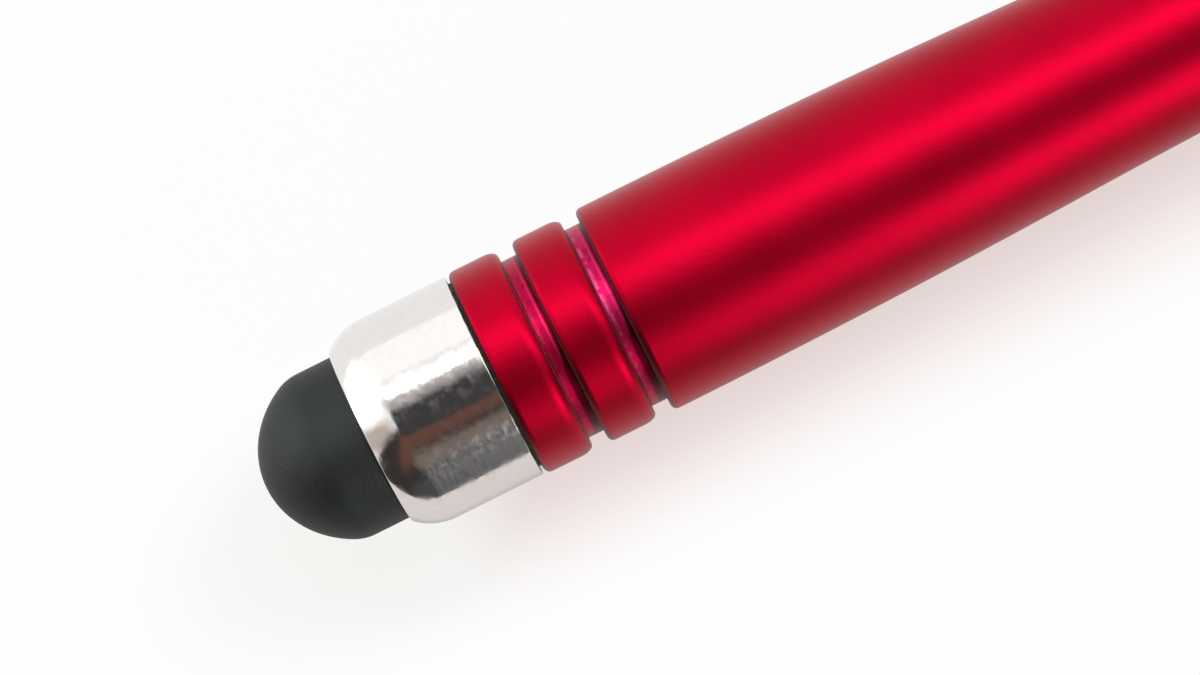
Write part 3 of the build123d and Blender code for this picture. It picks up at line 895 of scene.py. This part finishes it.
class UpperBarrel(bpy.types.Operator):
    """Red barrel with two rings, two square grooves, a bowed flare and a slot for the clip"""

    bl_idname = "stylus_pen.upper_barrel"
    bl_label = "Upper barrel"

    def execute(self, context):
        pen = context.scene.stylus_pen
        clip = pen.clip
        outline, slot_row, bore_row = self.outline(pen)
        strip_low, strip_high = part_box("clip")
        slot_half = (strip_high.y - strip_low.y) / 2 + clip.play
        turns = column_turns(pen.columns)
        slot_columns = round(pen.columns * math.asin(slot_half / half_width("upper_barrel")) / math.tau)
        slot_turn = turns[pen.columns // 2 + slot_columns]
        edge = np.arcsin(slot_half / outline.imag)[:, None]
        inside = turns * edge / slot_turn
        outside = edge + (abs(turns) - slot_turn) * (math.pi - edge) / (math.pi - slot_turn)
        points = turned(outline, np.where(abs(turns) <= slot_turn, inside, np.sign(turns) * outside))
        index = np.arange(points[:, :, 0].size).reshape(points.shape[:2])
        first, last = pen.columns // 2 - slot_columns, pen.columns // 2 + slot_columns
        quads = grid_quads(*index.shape, True)
        kept = np.ones(index.shape, bool)
        kept[[slot_row, bore_row], first:last] = False
        walls = self.slot_walls(index, slot_row, bore_row, first, last)
        piece = add_piece("red_upper_barrel", points, np.concatenate([quads[kept], walls]))
        stand_for(piece, "upper_barrel", "upper_half")
        return {"FINISHED"}

    def outline(self, pen):
        """Outside from the ferrule to the joint and bore back, with two points at the ends of the clip's slot
        on both, and the numbers of the first of these points outside and in the bore."""
        barrel, clip = pen.barrel, pen.clip
        radius, body = half_width("upper_barrel"), half_width("lower_barrel")
        floor = radius - barrel.groove_depth
        corners = [barrel_start + 1j * barrel.bore, barrel_start + 1j * radius]
        reaches = [barrel.ring_edge]
        ring = barrel_start
        for _ in range(2):
            groove = ring + barrel.ring_width
            ring = groove + barrel.groove_width
            corners += [groove + 1j * radius, groove + 1j * floor, ring + 1j * floor, ring + 1j * radius]
            reaches.append((barrel.ring_fall, barrel.ring_edge))
            reaches += [barrel.groove_edge, barrel.groove_edge, barrel.ring_edge]
        flare_start = ring + barrel.land + 1j * radius
        flare_end = flare_start.real + barrel.flare_length + 1j * body
        rings = rounded([*corners, flare_start], reaches, pen.arc_steps)
        flare = s_bend(flare_start, flare_end, pen.curve_steps)
        half = clip.thickness / 2 + clip.play
        slot = clip_slot(clip)
        ends = np.array([slot - half, slot + half])
        slot_points = ends + 1j * np.interp(ends, flare.real, flare.imag)
        before = flare[flare.real < ends[0]]
        after = flare[flare.real > ends[1]]
        back = rounded(
            [flare_end + barrel.joint_edge, joint + 1j * body, joint + 1j * barrel.bore],
            [barrel.joint_edge],
            pen.arc_steps,
        )
        bore = ends[::-1] + 1j * barrel.bore
        front = np.concatenate([rings[1:-1], before])
        middle = np.concatenate([slot_points, after, back])
        outline = np.concatenate([front, middle, bore, rings[:1]])
        return outline, len(front), len(front) + len(middle)

    def slot_walls(self, index, slot_row, bore_row, first, last):
        """Faces of the slot's four walls, between the edges of the holes outside and in the bore."""
        outer, outer_next = index[slot_row], index[slot_row + 1]
        inner, inner_next = index[bore_row + 1], index[bore_row]
        here, there = slice(first, last), slice(first + 1, last + 1)
        ends = [
            np.stack([outer[here], outer[there], inner[there], inner[here]], axis=-1),
            np.stack([outer_next[there], outer_next[here], inner_next[here], inner_next[there]], axis=-1),
        ]
        sides = [
            [[outer_next[first], outer[first], inner[first], inner_next[first]]],
            [[outer[last], outer_next[last], inner_next[last], inner[last]]],
        ]
        return np.concatenate([*ends, *sides])


def lower_bow(pen):
    """Outside of the lower barrel from where it starts to bow in to its front end: an arc."""
    barrel = pen.barrel
    body = half_width("lower_barrel")
    start = lower_start + barrel.straight_length + 1j * body
    return tangent_arc(start, 1, lower_end + 1j * (body - barrel.grip_taper), pen.curve_steps)


class LowerBarrel(bpy.types.Operator):
    """Red barrel, straight for most of its length and bowed in towards the nose"""

    bl_idname = "stylus_pen.lower_barrel"
    bl_label = "Lower barrel"

    def execute(self, context):
        pen = context.scene.stylus_pen
        barrel = pen.barrel
        bow = lower_bow(pen)
        back = rounded(
            [lower_start + 1j * barrel.bore, lower_start + 1j * half_width("lower_barrel"), bow[0]],
            [barrel.joint_edge],
            pen.arc_steps,
        )
        step = lower_end - barrel.front_depth
        bore = [lower_end + 1j * barrel.front_bore, step + 1j * barrel.front_bore, step + 1j * barrel.bore]
        outline = np.concatenate([back[:-1], bow, bore])
        stand_for(add_turned("red_lower_barrel", outline, pen), "lower_barrel", "lower_half")
        return {"FINISHED"}


class CentreRing(bpy.types.Operator):
    """Chromed ring between the two barrels"""

    bl_idname = "stylus_pen.centre_ring"
    bl_label = "Centre ring"

    def execute(self, context):
        pen = context.scene.stylus_pen
        barrel = pen.barrel
        radius = half_width("centre_ring")
        outline = rounded(
            [
                ring_start + 1j * barrel.ring_bore,
                ring_start + 1j * radius,
                ring_end + 1j * radius,
                ring_end + 1j * barrel.ring_bore,
            ],
            [barrel.joint_edge, barrel.joint_edge],
            pen.arc_steps,
        )
        stand_for(add_turned("chrome_centre_ring", outline, pen), "centre_ring", "lower_half")
        return {"FINISHED"}


class NoseCone(bpy.types.Operator):
    """Chromed cone that carries on the barrel's bow, bored for the spring, the refill and its tip"""

    bl_idname = "stylus_pen.nose_cone"
    bl_label = "Nose cone"

    def execute(self, context):
        pen = context.scene.stylus_pen
        barrel, writing = pen.barrel, pen.writing
        bow_run = lower_end - lower_start - barrel.straight_length
        slope = 2 * math.atan2(barrel.grip_taper, bow_run)
        start = lower_end + 1j * (half_width("lower_barrel") - barrel.grip_taper - writing.nose_step)
        mouth = nose_end - writing.mouth_edge + 1j * writing.mouth_radius
        curve = tangent_arc(start, np.exp(-1j * slope), mouth, pen.curve_steps)
        throat = nose_end - writing.throat_length
        seat = lower_end + writing.spring_seat
        rim_end = nose_end + 1j * (writing.mouth_radius - writing.mouth_edge)
        rim = tangent_arc(mouth, curve[-1] - curve[-2], rim_end, pen.arc_steps)
        bore = np.array(
            [
                nose_end + 1j * writing.throat_radius,
                throat + 1j * writing.throat_radius,
                throat + 1j * writing.tube_bore,
                seat + 1j * writing.tube_bore,
                seat + 1j * writing.spring_bore,
                nose_back + 1j * writing.spring_bore,
                nose_back + 1j * writing.spigot_radius,
                lower_end + 1j * writing.spigot_radius,
            ]
        )
        outline = np.concatenate([curve, rim[1:], bore])
        stand_for(add_turned("chrome_nose", outline, pen), "nose_cone", "lower_half")
        return {"FINISHED"}


def clip_slot(clip):
    """Place of the clip's strip where it stands in its slot."""
    return clip_start + clip.thickness / 2


class Clip(bpy.types.Operator):
    """Sprung strip: a tab in the barrel, a bend at the crest, a bowed run, a foot and a turned-up lip"""

    bl_idname = "stylus_pen.clip"
    bl_label = "Clip"

    def execute(self, context):
        pen = context.scene.stylus_pen
        clip = pen.clip
        path = self.path(pen)
        across, through = self.section(pen)
        direction = np.gradient(path)
        normal = 1j * direction / abs(direction)
        half = self.half_widths(path, clip)
        spine = path[:, None] + normal[:, None] * through
        side = np.sign(across) * np.maximum(half[:, None] - clip.edge, 0) + across
        points = np.stack([spine.real, side, axis_height - spine.imag], axis=-1)
        caps = [np.broadcast_to(end.mean(axis=0), end.shape)[None] for end in (points[0], points[-1])]
        points = np.concatenate([caps[0], points, caps[1]])
        piece = add_piece("chrome_clip", points, grid_quads(*points.shape[:2], False))
        stand_for(piece, "clip", "clip")
        return {"FINISHED"}

    def path(self, pen):
        """Middle line of the strip, as place along the axis plus 1j times the distance from it."""
        clip = pen.clip
        _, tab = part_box("clip")
        slot = clip_slot(clip)
        bend = clip.bend + clip.thickness / 2
        top = axis_height - clip.thickness / 2
        foot_level = half_width("lower_barrel") + clip.foot_gap + clip.thickness / 2
        foot = joint - clip.foot_setback + 1j * foot_level
        tail = clip_end + 1j * (foot_level + clip.lip_rise)
        stand = np.linspace(slot + 1j * (axis_height - tab.z), slot + 1j * (top - bend), pen.arc_steps)
        turn = tangent_arc(stand[-1], 1j, slot + bend + 1j * top, pen.curve_steps)
        run = s_bend(turn[-1], foot, pen.curve_steps)
        lip = tangent_arc(foot, 1, tail, pen.curve_steps)
        return np.concatenate([stand, turn[1:], run[1:], lip[1:]])

    def section(self, pen):
        """Strip's section round its middle line: four corner arcs. Gives each point's distance past the end
        of the flat across the strip, and its distance through the thickness."""
        clip = pen.clip
        turns = (np.arange(4 * pen.arc_steps) + 0.5) / (4 * pen.arc_steps) * math.tau
        across = clip.edge * np.cos(turns)
        through = clip.edge * np.sin(turns) + np.sign(np.sin(turns)) * (clip.thickness / 2 - clip.edge)
        return across, through

    def half_widths(self, path, clip):
        """Half the strip's width: even up to the crest, then an even taper, less what the quarter circles of
        the tail's corners take."""
        low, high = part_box("clip")
        wide, narrow = (high.y - low.y) / 2, clip.tail_width / 2
        shoulder = clip_start + clip.bend + clip.thickness
        taper = np.interp(path.real, [shoulder, clip_end], [wide, narrow])
        past = np.maximum(path.real - (clip_end - clip.tail_radius), 0)
        return taper - clip.tail_radius + np.sqrt(np.maximum(clip.tail_radius**2 - past**2, 0))


class WritingPoint(bpy.types.Operator):
    """Metal tip of the refill, with its cone and rim, and the ball in it"""

    bl_idname = "stylus_pen.writing_point"
    bl_label = "Writing point"

    def execute(self, context):
        pen = context.scene.stylus_pen
        writing = pen.writing
        ball_radius = half_width("ball")
        centre = (ball_start + ball_end) / 2
        socket = ball_radius + writing.ball_gap
        throat = math.sqrt(socket**2 - writing.ink_channel**2)
        shank_end = tip_back + writing.tip_shank
        body = np.array(
            [
                tip_back + 1j * writing.tip_shank_radius,
                shank_end + 1j * writing.tip_shank_radius,
                shank_end + 1j * writing.tip_radius,
                tip_rim - writing.tip_cone + 1j * writing.tip_radius,
                tip_rim + 1j * (ball_radius + writing.tip_wall),
            ]
        )
        rim_turn, throat_turn = math.asin(writing.ball_grip / socket), -math.asin(throat / socket)
        turns = np.linspace(rim_turn, throat_turn, pen.curve_steps)
        seat = centre + socket * (np.sin(turns) + 1j * np.cos(turns))
        channel = np.array([tip_back + 1j * writing.ink_channel])
        outline = np.concatenate([body, seat, channel])
        stand_for(add_turned("steel_tip", outline, pen), "refill_tip", "refill")
        half_turn = np.linspace(0, math.pi, pen.curve_steps)
        sphere = centre - ball_radius * np.cos(half_turn) + 1j * ball_radius * np.sin(half_turn)
        stand_for(add_turned("writing_ball", sphere, pen, closed=False), "ball", "ball")
        return {"FINISHED"}


class ReturnSpring(bpy.types.Operator):
    """Wire spring round the refill, drawn at rest; on the pen it is pressed together as the point comes out
    """

    bl_idname = "stylus_pen.return_spring"
    bl_label = "Return spring"

    def execute(self, context):
        pen = context.scene.stylus_pen
        back, front = span("return_spring")
        feed = next(row for row in record["behaviour"]["joints"] if row["name"] == "refill_feed")
        pressed = 1 - feed["range_m"][1] / (front - back)
        points = self.winding(pen, back, front)
        spring = add_piece("wire_spring", points, grid_quads(*points.shape[:2], False))
        stand_for(spring, "return_spring", "lower_half")
        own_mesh(spring)
        return {"FINISHED"}

    def winding(self, pen, back, front):
        """Wire round a helix, whose turn and place along the axis grow together: a circle at right angles to
        it, drawn in to a point at both ends."""
        wire, turns = pen.writing.spring_wire, pen.writing.spring_turns
        coil = half_width("return_spring") - wire
        turn = np.pad(np.linspace(0, math.tau * turns, turns * pen.curve_steps), 1, mode="edge")[:, None]
        thick = np.pad(np.full(len(turn) - 2, wire), 1)[:, None]
        rise = (front - back - 2 * wire) / turn[-1, 0]
        lean = math.atan2(rise, coil)
        out = coil + thick * np.cos(column_turns(pen.arc_steps))
        across = thick * np.sin(column_turns(pen.arc_steps))
        return np.stack(
            [
                back + wire + rise * turn - across * math.cos(lean),
                out * np.cos(turn) - across * math.sin(lean) * np.sin(turn),
                axis_height + out * np.sin(turn) + across * math.sin(lean) * np.cos(turn),
            ],
            axis=-1,
        )


class InnerParts(bpy.types.Operator):
    """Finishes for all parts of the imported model, of which the inner ones keep its shapes"""

    bl_idname = "stylus_pen.inner_parts"
    bl_label = "Inner parts"

    def execute(self, context):
        for part in record["subparts"]:
            node = frame["nodes"][part["node"]]
            node.data.materials.clear()
            node.data.materials.append(finish(part["material_slot"]))
        return {"FINISHED"}


# Stage


def tilt_of_rest():
    """Place of the clip's crest, and slope of the ground that the crest and the lower barrel lie on: the
    least slope from the crest to any place on the lower barrel's bow."""
    pen = bpy.context.scene.stylus_pen
    crest = clip_slot(pen.clip) + pen.clip.bend + pen.clip.thickness / 2
    bow = lower_bow(pen)
    return crest, ((axis_height - bow.imag) / (bow.real - crest)).min()


# Shares of the floor's radius at which its rings of faces meet
floor_ring_shares = np.array([0, 0.1, 0.3, 1])


def add_floor(studio):
    """Flat round floor with the slope on which the pen rests."""
    crest, slope = tilt_of_rest()
    turns = column_turns(bpy.context.scene.stylus_pen.columns)
    reach = studio.floor_radius * floor_ring_shares[:, None]
    across = crest + reach * np.cos(turns)
    points = np.stack([across, reach * np.sin(turns), slope * (across - crest)], axis=-1)
    floor = add_piece("floor", points, grid_quads(*points.shape[:2], False))
    floor.data.materials.append(floor_finish(studio))


def floor_finish(studio):
    """Pale paper mixed with plain white, which is all there is far from the pen. In a long soft patch under
    and beside the pen, its shadow, the white is less and has a tint, and it is paler by the dome: a painted
    shadow over the paper's real one, tinted pink beside the barrel as painted light bounced from it. The
    patch fades half as fast past the pen's ends. Polished metal mirrors the white on the lit side alone,
    a painted reflection of the lit floor."""
    material, shader = new_material("floor")
    place = shader.places()
    distance = shader.node("ShaderNodeVectorMath", {"operation": "LENGTH"}, {0: place}, "Value")
    along, side, _ = shader.split(place)
    past = shader.math("MAXIMUM", ferrule_start - along, along - nose_end).math("MAXIMUM", 0)
    away = ((past / 2) ** 2 + (side + studio.shadow_shift) ** 2) ** 0.5
    lit = shader.ramp(away, studio.shadow_start, studio.shadow_end)
    by_dome = shader.ramp(along, ferrule_start, barrel_start, 1, 0)
    paler = lit.math("MAXIMUM", studio.dome_paler * by_dome)
    near = studio.floor_glow + (studio.floor_clear - studio.floor_glow) * paler
    glow = near + (1 - near) * shader.ramp(distance, studio.white_start, studio.white_end)
    seen = seen_directly(shader, studio.floor_mirrored * shader.ramp(side, 0, studio.shadow_shift))
    paper = shader.node("ShaderNodeBsdfDiffuse", {}, {"Color": (*studio.floor_colour, 1)})
    # Painted bounce light: the white in the shadow is tinted pink beside the red barrel
    shade = shader.mix(by_dome, tuple(studio.barrel_tint), tuple(studio.dome_tint))
    tint = shader.mix(lit, shade, (1, 1, 1))
    white = shader.node("ShaderNodeEmission", {}, {"Color": tint, "Strength": studio.floor_white})
    surface = shader.node("ShaderNodeMixShader", {}, {0: glow * seen, 1: paper, 2: white})
    shader.node("ShaderNodeOutputMaterial", {}, {"Surface": surface})
    return material


def seen_directly(shader, mirrored):
    """1 for what the camera sees straight, and a share for what it sees in a polished or clear surface."""
    kinds = "Camera", "Glossy", "Transmission"
    rays = [shader.node("ShaderNodeLightPath", output=f"Is {kind} Ray") for kind in kinds]
    straight, polished, clear = rays
    return straight.math("MAXIMUM", mirrored * polished.math("MAXIMUM", clear))


def set_world(studio):
    """White all round where it is seen, and a soft even light on dull surfaces."""
    world = bpy.data.worlds.new("studio")
    bpy.context.scene.world = world
    shader = Shader(world)
    strength = studio.ambient + (1 - studio.ambient) * seen_directly(shader, 1)
    background = shader.node("ShaderNodeBackground", {}, {"Color": (1, 1, 1, 1), "Strength": strength})
    shader.node("ShaderNodeOutputWorld", {}, {"Surface": background})


def lamp_direction(fall, turn):
    """Direction at an angle from overhead and a turn from the pen's axis."""
    return Vector((math.sin(fall) * math.cos(turn), math.sin(fall) * math.sin(turn), math.cos(fall)))


def add_lamp(name, direction, distance, size, brightness, shift=0, roll=0):
    """Rectangular soft lamp that faces the ferrule's end, or a place shifted from it along the pen, turned in
    its own plane by its roll. Its power is brightness times pi times its area."""
    lamp = bpy.data.lights.new(name, "AREA")
    lamp.shape = "RECTANGLE"
    lamp.size, lamp.size_y = size
    lamp.energy = brightness * math.pi * lamp.size * lamp.size_y
    holder = bpy.data.objects.new(name, lamp)
    holder.location = Vector((ferrule_end + shift, 0, axis_height)) + direction * distance
    turn = direction.to_track_quat("Z", "Y") @ Quaternion((0, 0, 1), roll)
    holder.rotation_euler = turn.to_euler()
    bpy.context.scene.collection.objects.link(holder)


# Painted reflections: shapes on the card that the polished metal mirrors, as seen from the pen, with
# overhead at 0, 0 and angles in degrees: middle along the pen and across it, half sizes, turn, how square
# the shape is, softness of its rim as a share of its size, and colour
card_patches = (
    ((-66, 46), (46, 38), 0, 2, 0.5, (3.0, 3.0, 3.0)),
    ((-60, -4), (40, 14), 0, 4, 0.5, (0.56, 0.48, 0.43)),
    ((30, -90), (90, 26), 0, 4, 0.1, (0.09, 0.085, 0.085)),
    ((62, -36), (34, 30), 0, 4, 0.2, (0.1, 0.095, 0.095)),
    ((-34, -52), (52, 44), 14.7, 5, 0.12, (0.042, 0.036, 0.034)),
    ((-14, -25), (36, 12), 35, 2, 0.5, (0.14, 0.067, 0.05)),
    ((-4, -47), (16, 10), 0, 2, 0.5, (0.19, 0.148, 0.13)),
    ((-18, -82), (36, 15), 0, 3, 0.4, (0.062, 0.068, 0.073)),
    ((3, -76), (9, 24), 0, 3, 0.4, (0.165, 0.16, 0.165)),
    ((5, -10), (22, 9), -14, 4, 0.1, (0.065, 0.054, 0.052)),
    ((-6, 5), (11.5, 20), 0, 4, 0.08, (0.05, 0.047, 0.05)),
    ((-8, 22), (16, 8), 0, 2, 0.7, (0.45, 0.43, 0.43)),
)


def add_card(studio):
    """Card round the pen that only polished surfaces see, carrying painted reflections: a bowl upside down,
    whose rim runs in towards the pen, just over the floor. One over its reach is the root of the sum of the
    squares of one over the card's radius and of the sine of the fall below the level over the drop."""
    pen = bpy.context.scene.stylus_pen
    head = Vector((ferrule_start, 0, axis_height))
    turns = column_turns(pen.columns)
    fall = np.linspace(0, studio.card_fall, 2 * pen.curve_steps)[:, None]
    below = np.maximum(fall - math.pi / 2, 0)
    reach = 1 / np.hypot(1 / studio.card_radius, np.sin(below) / (axis_height * studio.card_drop))
    points = np.stack(
        [
            head.x + reach * np.sin(fall) * np.cos(turns),
            head.y + reach * np.sin(fall) * np.sin(turns),
            head.z + reach * np.cos(fall) + 0 * turns,
        ],
        axis=-1,
    )
    card = add_piece("card", points, grid_quads(*points.shape[:2], False))
    card.data.materials.append(card_finish(head))
    card.visible_camera = False
    card.visible_diffuse = False
    card.visible_shadow = False
    card.visible_transmission = False


def card_finish(head):
    """Clear sheet with glowing shapes that are painted reflections, each over the ones before it: a bright
    window and dark patches.
    """
    material, shader = new_material("card")
    along, across = overhead_angles(shader, head)
    shown, cover = (1, 1, 1), 0
    for middle, halves, turn, power, rim, shade in card_patches:
        patch = patch_mask(shader, along, across, middle, halves, math.radians(turn), power, rim)
        shown = shader.mix(patch, shown, shade)
        cover = patch.math("MAXIMUM", cover)
    shapes = shader.node("ShaderNodeEmission", {}, {"Color": shown, "Strength": 1.0})
    clear = shader.node("ShaderNodeBsdfTransparent")
    surface = shader.node("ShaderNodeMixShader", {}, {0: cover, 1: clear, 2: shapes})
    shader.node("ShaderNodeOutputMaterial", {}, {"Surface": surface})
    return material


def overhead_angles(shader, head):
    """Angle from overhead of the card's places as seen from the stylus head, in degrees, split into its part
    along the pen and its part across it."""
    offset = shader.node("ShaderNodeVectorMath", {"operation": "SUBTRACT"}, {0: shader.places(), 1: head})
    along, across, up = shader.split(offset)
    aside = (along * along + across * across) ** 0.5
    scale = shader.math("ARCTAN2", aside, up) * math.degrees(1) / aside
    return along * scale, across * scale


def patch_mask(shader, along, across, middle, halves, turn, power, rim):
    """1 inside a turned, rounded box and 0 outside it, with a soft rim. A place's size is the root of the sum
    of the powers of its shares of the two half sizes, which is 1 on the rim."""
    ahead, aside = along - middle[0], across - middle[1]
    first = (ahead * math.cos(turn) + aside * math.sin(turn)) / halves[0]
    second = (aside * math.cos(turn) - ahead * math.sin(turn)) / halves[1]
    size = (first.math("ABSOLUTE") ** power + second.math("ABSOLUTE") ** power) ** (1 / power)
    return shader.ramp(size, 1 - rim, 1 + rim, 1.0, 0.0)


def add_camera(studio):
    """Camera straight over the stylus end."""
    lens = bpy.data.cameras.new("camera")
    lens.lens = studio.camera_lens
    lens.clip_start = studio.camera_height / 10
    camera = bpy.data.objects.new("camera", lens)
    camera.location = (
        dome_tip + studio.camera_station,
        studio.camera_side,
        axis_height + studio.camera_height,
    )
    camera.rotation_euler = (0, 0, -studio.camera_turn)
    bpy.context.scene.collection.objects.link(camera)
    bpy.context.scene.camera = camera


class Stage(bpy.types.Operator):
    """Floor, soft light, the card that polished metal mirrors and the camera over the stylus end"""

    bl_idname = "stylus_pen.stage"
    bl_label = "Stage"

    def execute(self, context):
        studio = context.scene.stylus_pen.studio
        context.scene.view_settings.view_transform = "Standard"
        add_camera(studio)
        add_floor(studio)
        set_world(studio)
        across = math.pi / 2
        key = lamp_direction(studio.key_angle, across)
        wall = lamp_direction(studio.wall_angle, across)
        fill = lamp_direction(studio.fill_angle, studio.fill_turn - across)
        reach = studio.lamp_distance
        key_size = studio.key_length, studio.key_width
        add_lamp("key", key, reach, key_size, studio.key_level, studio.key_shift, studio.key_roll)
        add_lamp("wall", wall, reach, (studio.wall_length, studio.wall_height), studio.wall_level)
        add_lamp("fill", fill, reach, (studio.fill_size, studio.fill_size), studio.fill_level)
        add_card(studio)
        return {"FINISHED"}


class StylusPenPanel(bpy.types.Panel):
    """Lists the pen's operators and settings."""

    bl_idname = "VIEW3D_PT_stylus_pen"
    bl_label = "Stylus pen"
    bl_space_type = "VIEW_3D"
    bl_region_type = "UI"
    bl_category = "Stylus pen"

    def draw(self, context):
        pen = context.scene.stylus_pen
        for operator in operators:
            self.layout.operator(operator.bl_idname)
        for group in (pen.head, pen.barrel, pen.clip, pen.writing, pen.finish, pen.grain, pen.studio):
            box = self.layout.box()
            for name in group.bl_rna.properties.keys():
                if name not in ("rna_type", "name"):
                    box.prop(group, name)


settings_groups = (
    StylusHeadSettings,
    BarrelSettings,
    ClipSettings,
    WritingEndSettings,
    FinishSettings,
    GrainSettings,
    StudioSettings,
    PenSettings,
)
operators = (
    Stage,
    InnerParts,
    StylusDome,
    Ferrule,
    Gasket,
    UpperBarrel,
    LowerBarrel,
    CentreRing,
    NoseCone,
    Clip,
    WritingPoint,
    ReturnSpring,
)


def register():
    """Make the classes and the scene's settings known."""
    for item in (*settings_groups, *operators, StylusPenPanel):
        bpy.utils.register_class(item)
    bpy.types.Scene.stylus_pen = PointerProperty(type=PenSettings)


def unregister():
    """Take the scene's settings and the classes away."""
    del bpy.types.Scene.stylus_pen
    for item in reversed((*settings_groups, *operators, StylusPenPanel)):
        bpy.utils.unregister_class(item)


def main():
    """Dress the pen and its stage."""
    register()
    bpy.ops.stylus_pen.stage()
    bpy.ops.stylus_pen.inner_parts()
    bpy.ops.stylus_pen.dome()
    bpy.ops.stylus_pen.ferrule()
    bpy.ops.stylus_pen.gasket()
    bpy.ops.stylus_pen.upper_barrel()
    bpy.ops.stylus_pen.lower_barrel()
    bpy.ops.stylus_pen.centre_ring()
    bpy.ops.stylus_pen.nose_cone()
    bpy.ops.stylus_pen.clip()
    bpy.ops.stylus_pen.writing_point()
    bpy.ops.stylus_pen.return_spring()


if __name__ == "__main__":
    main()
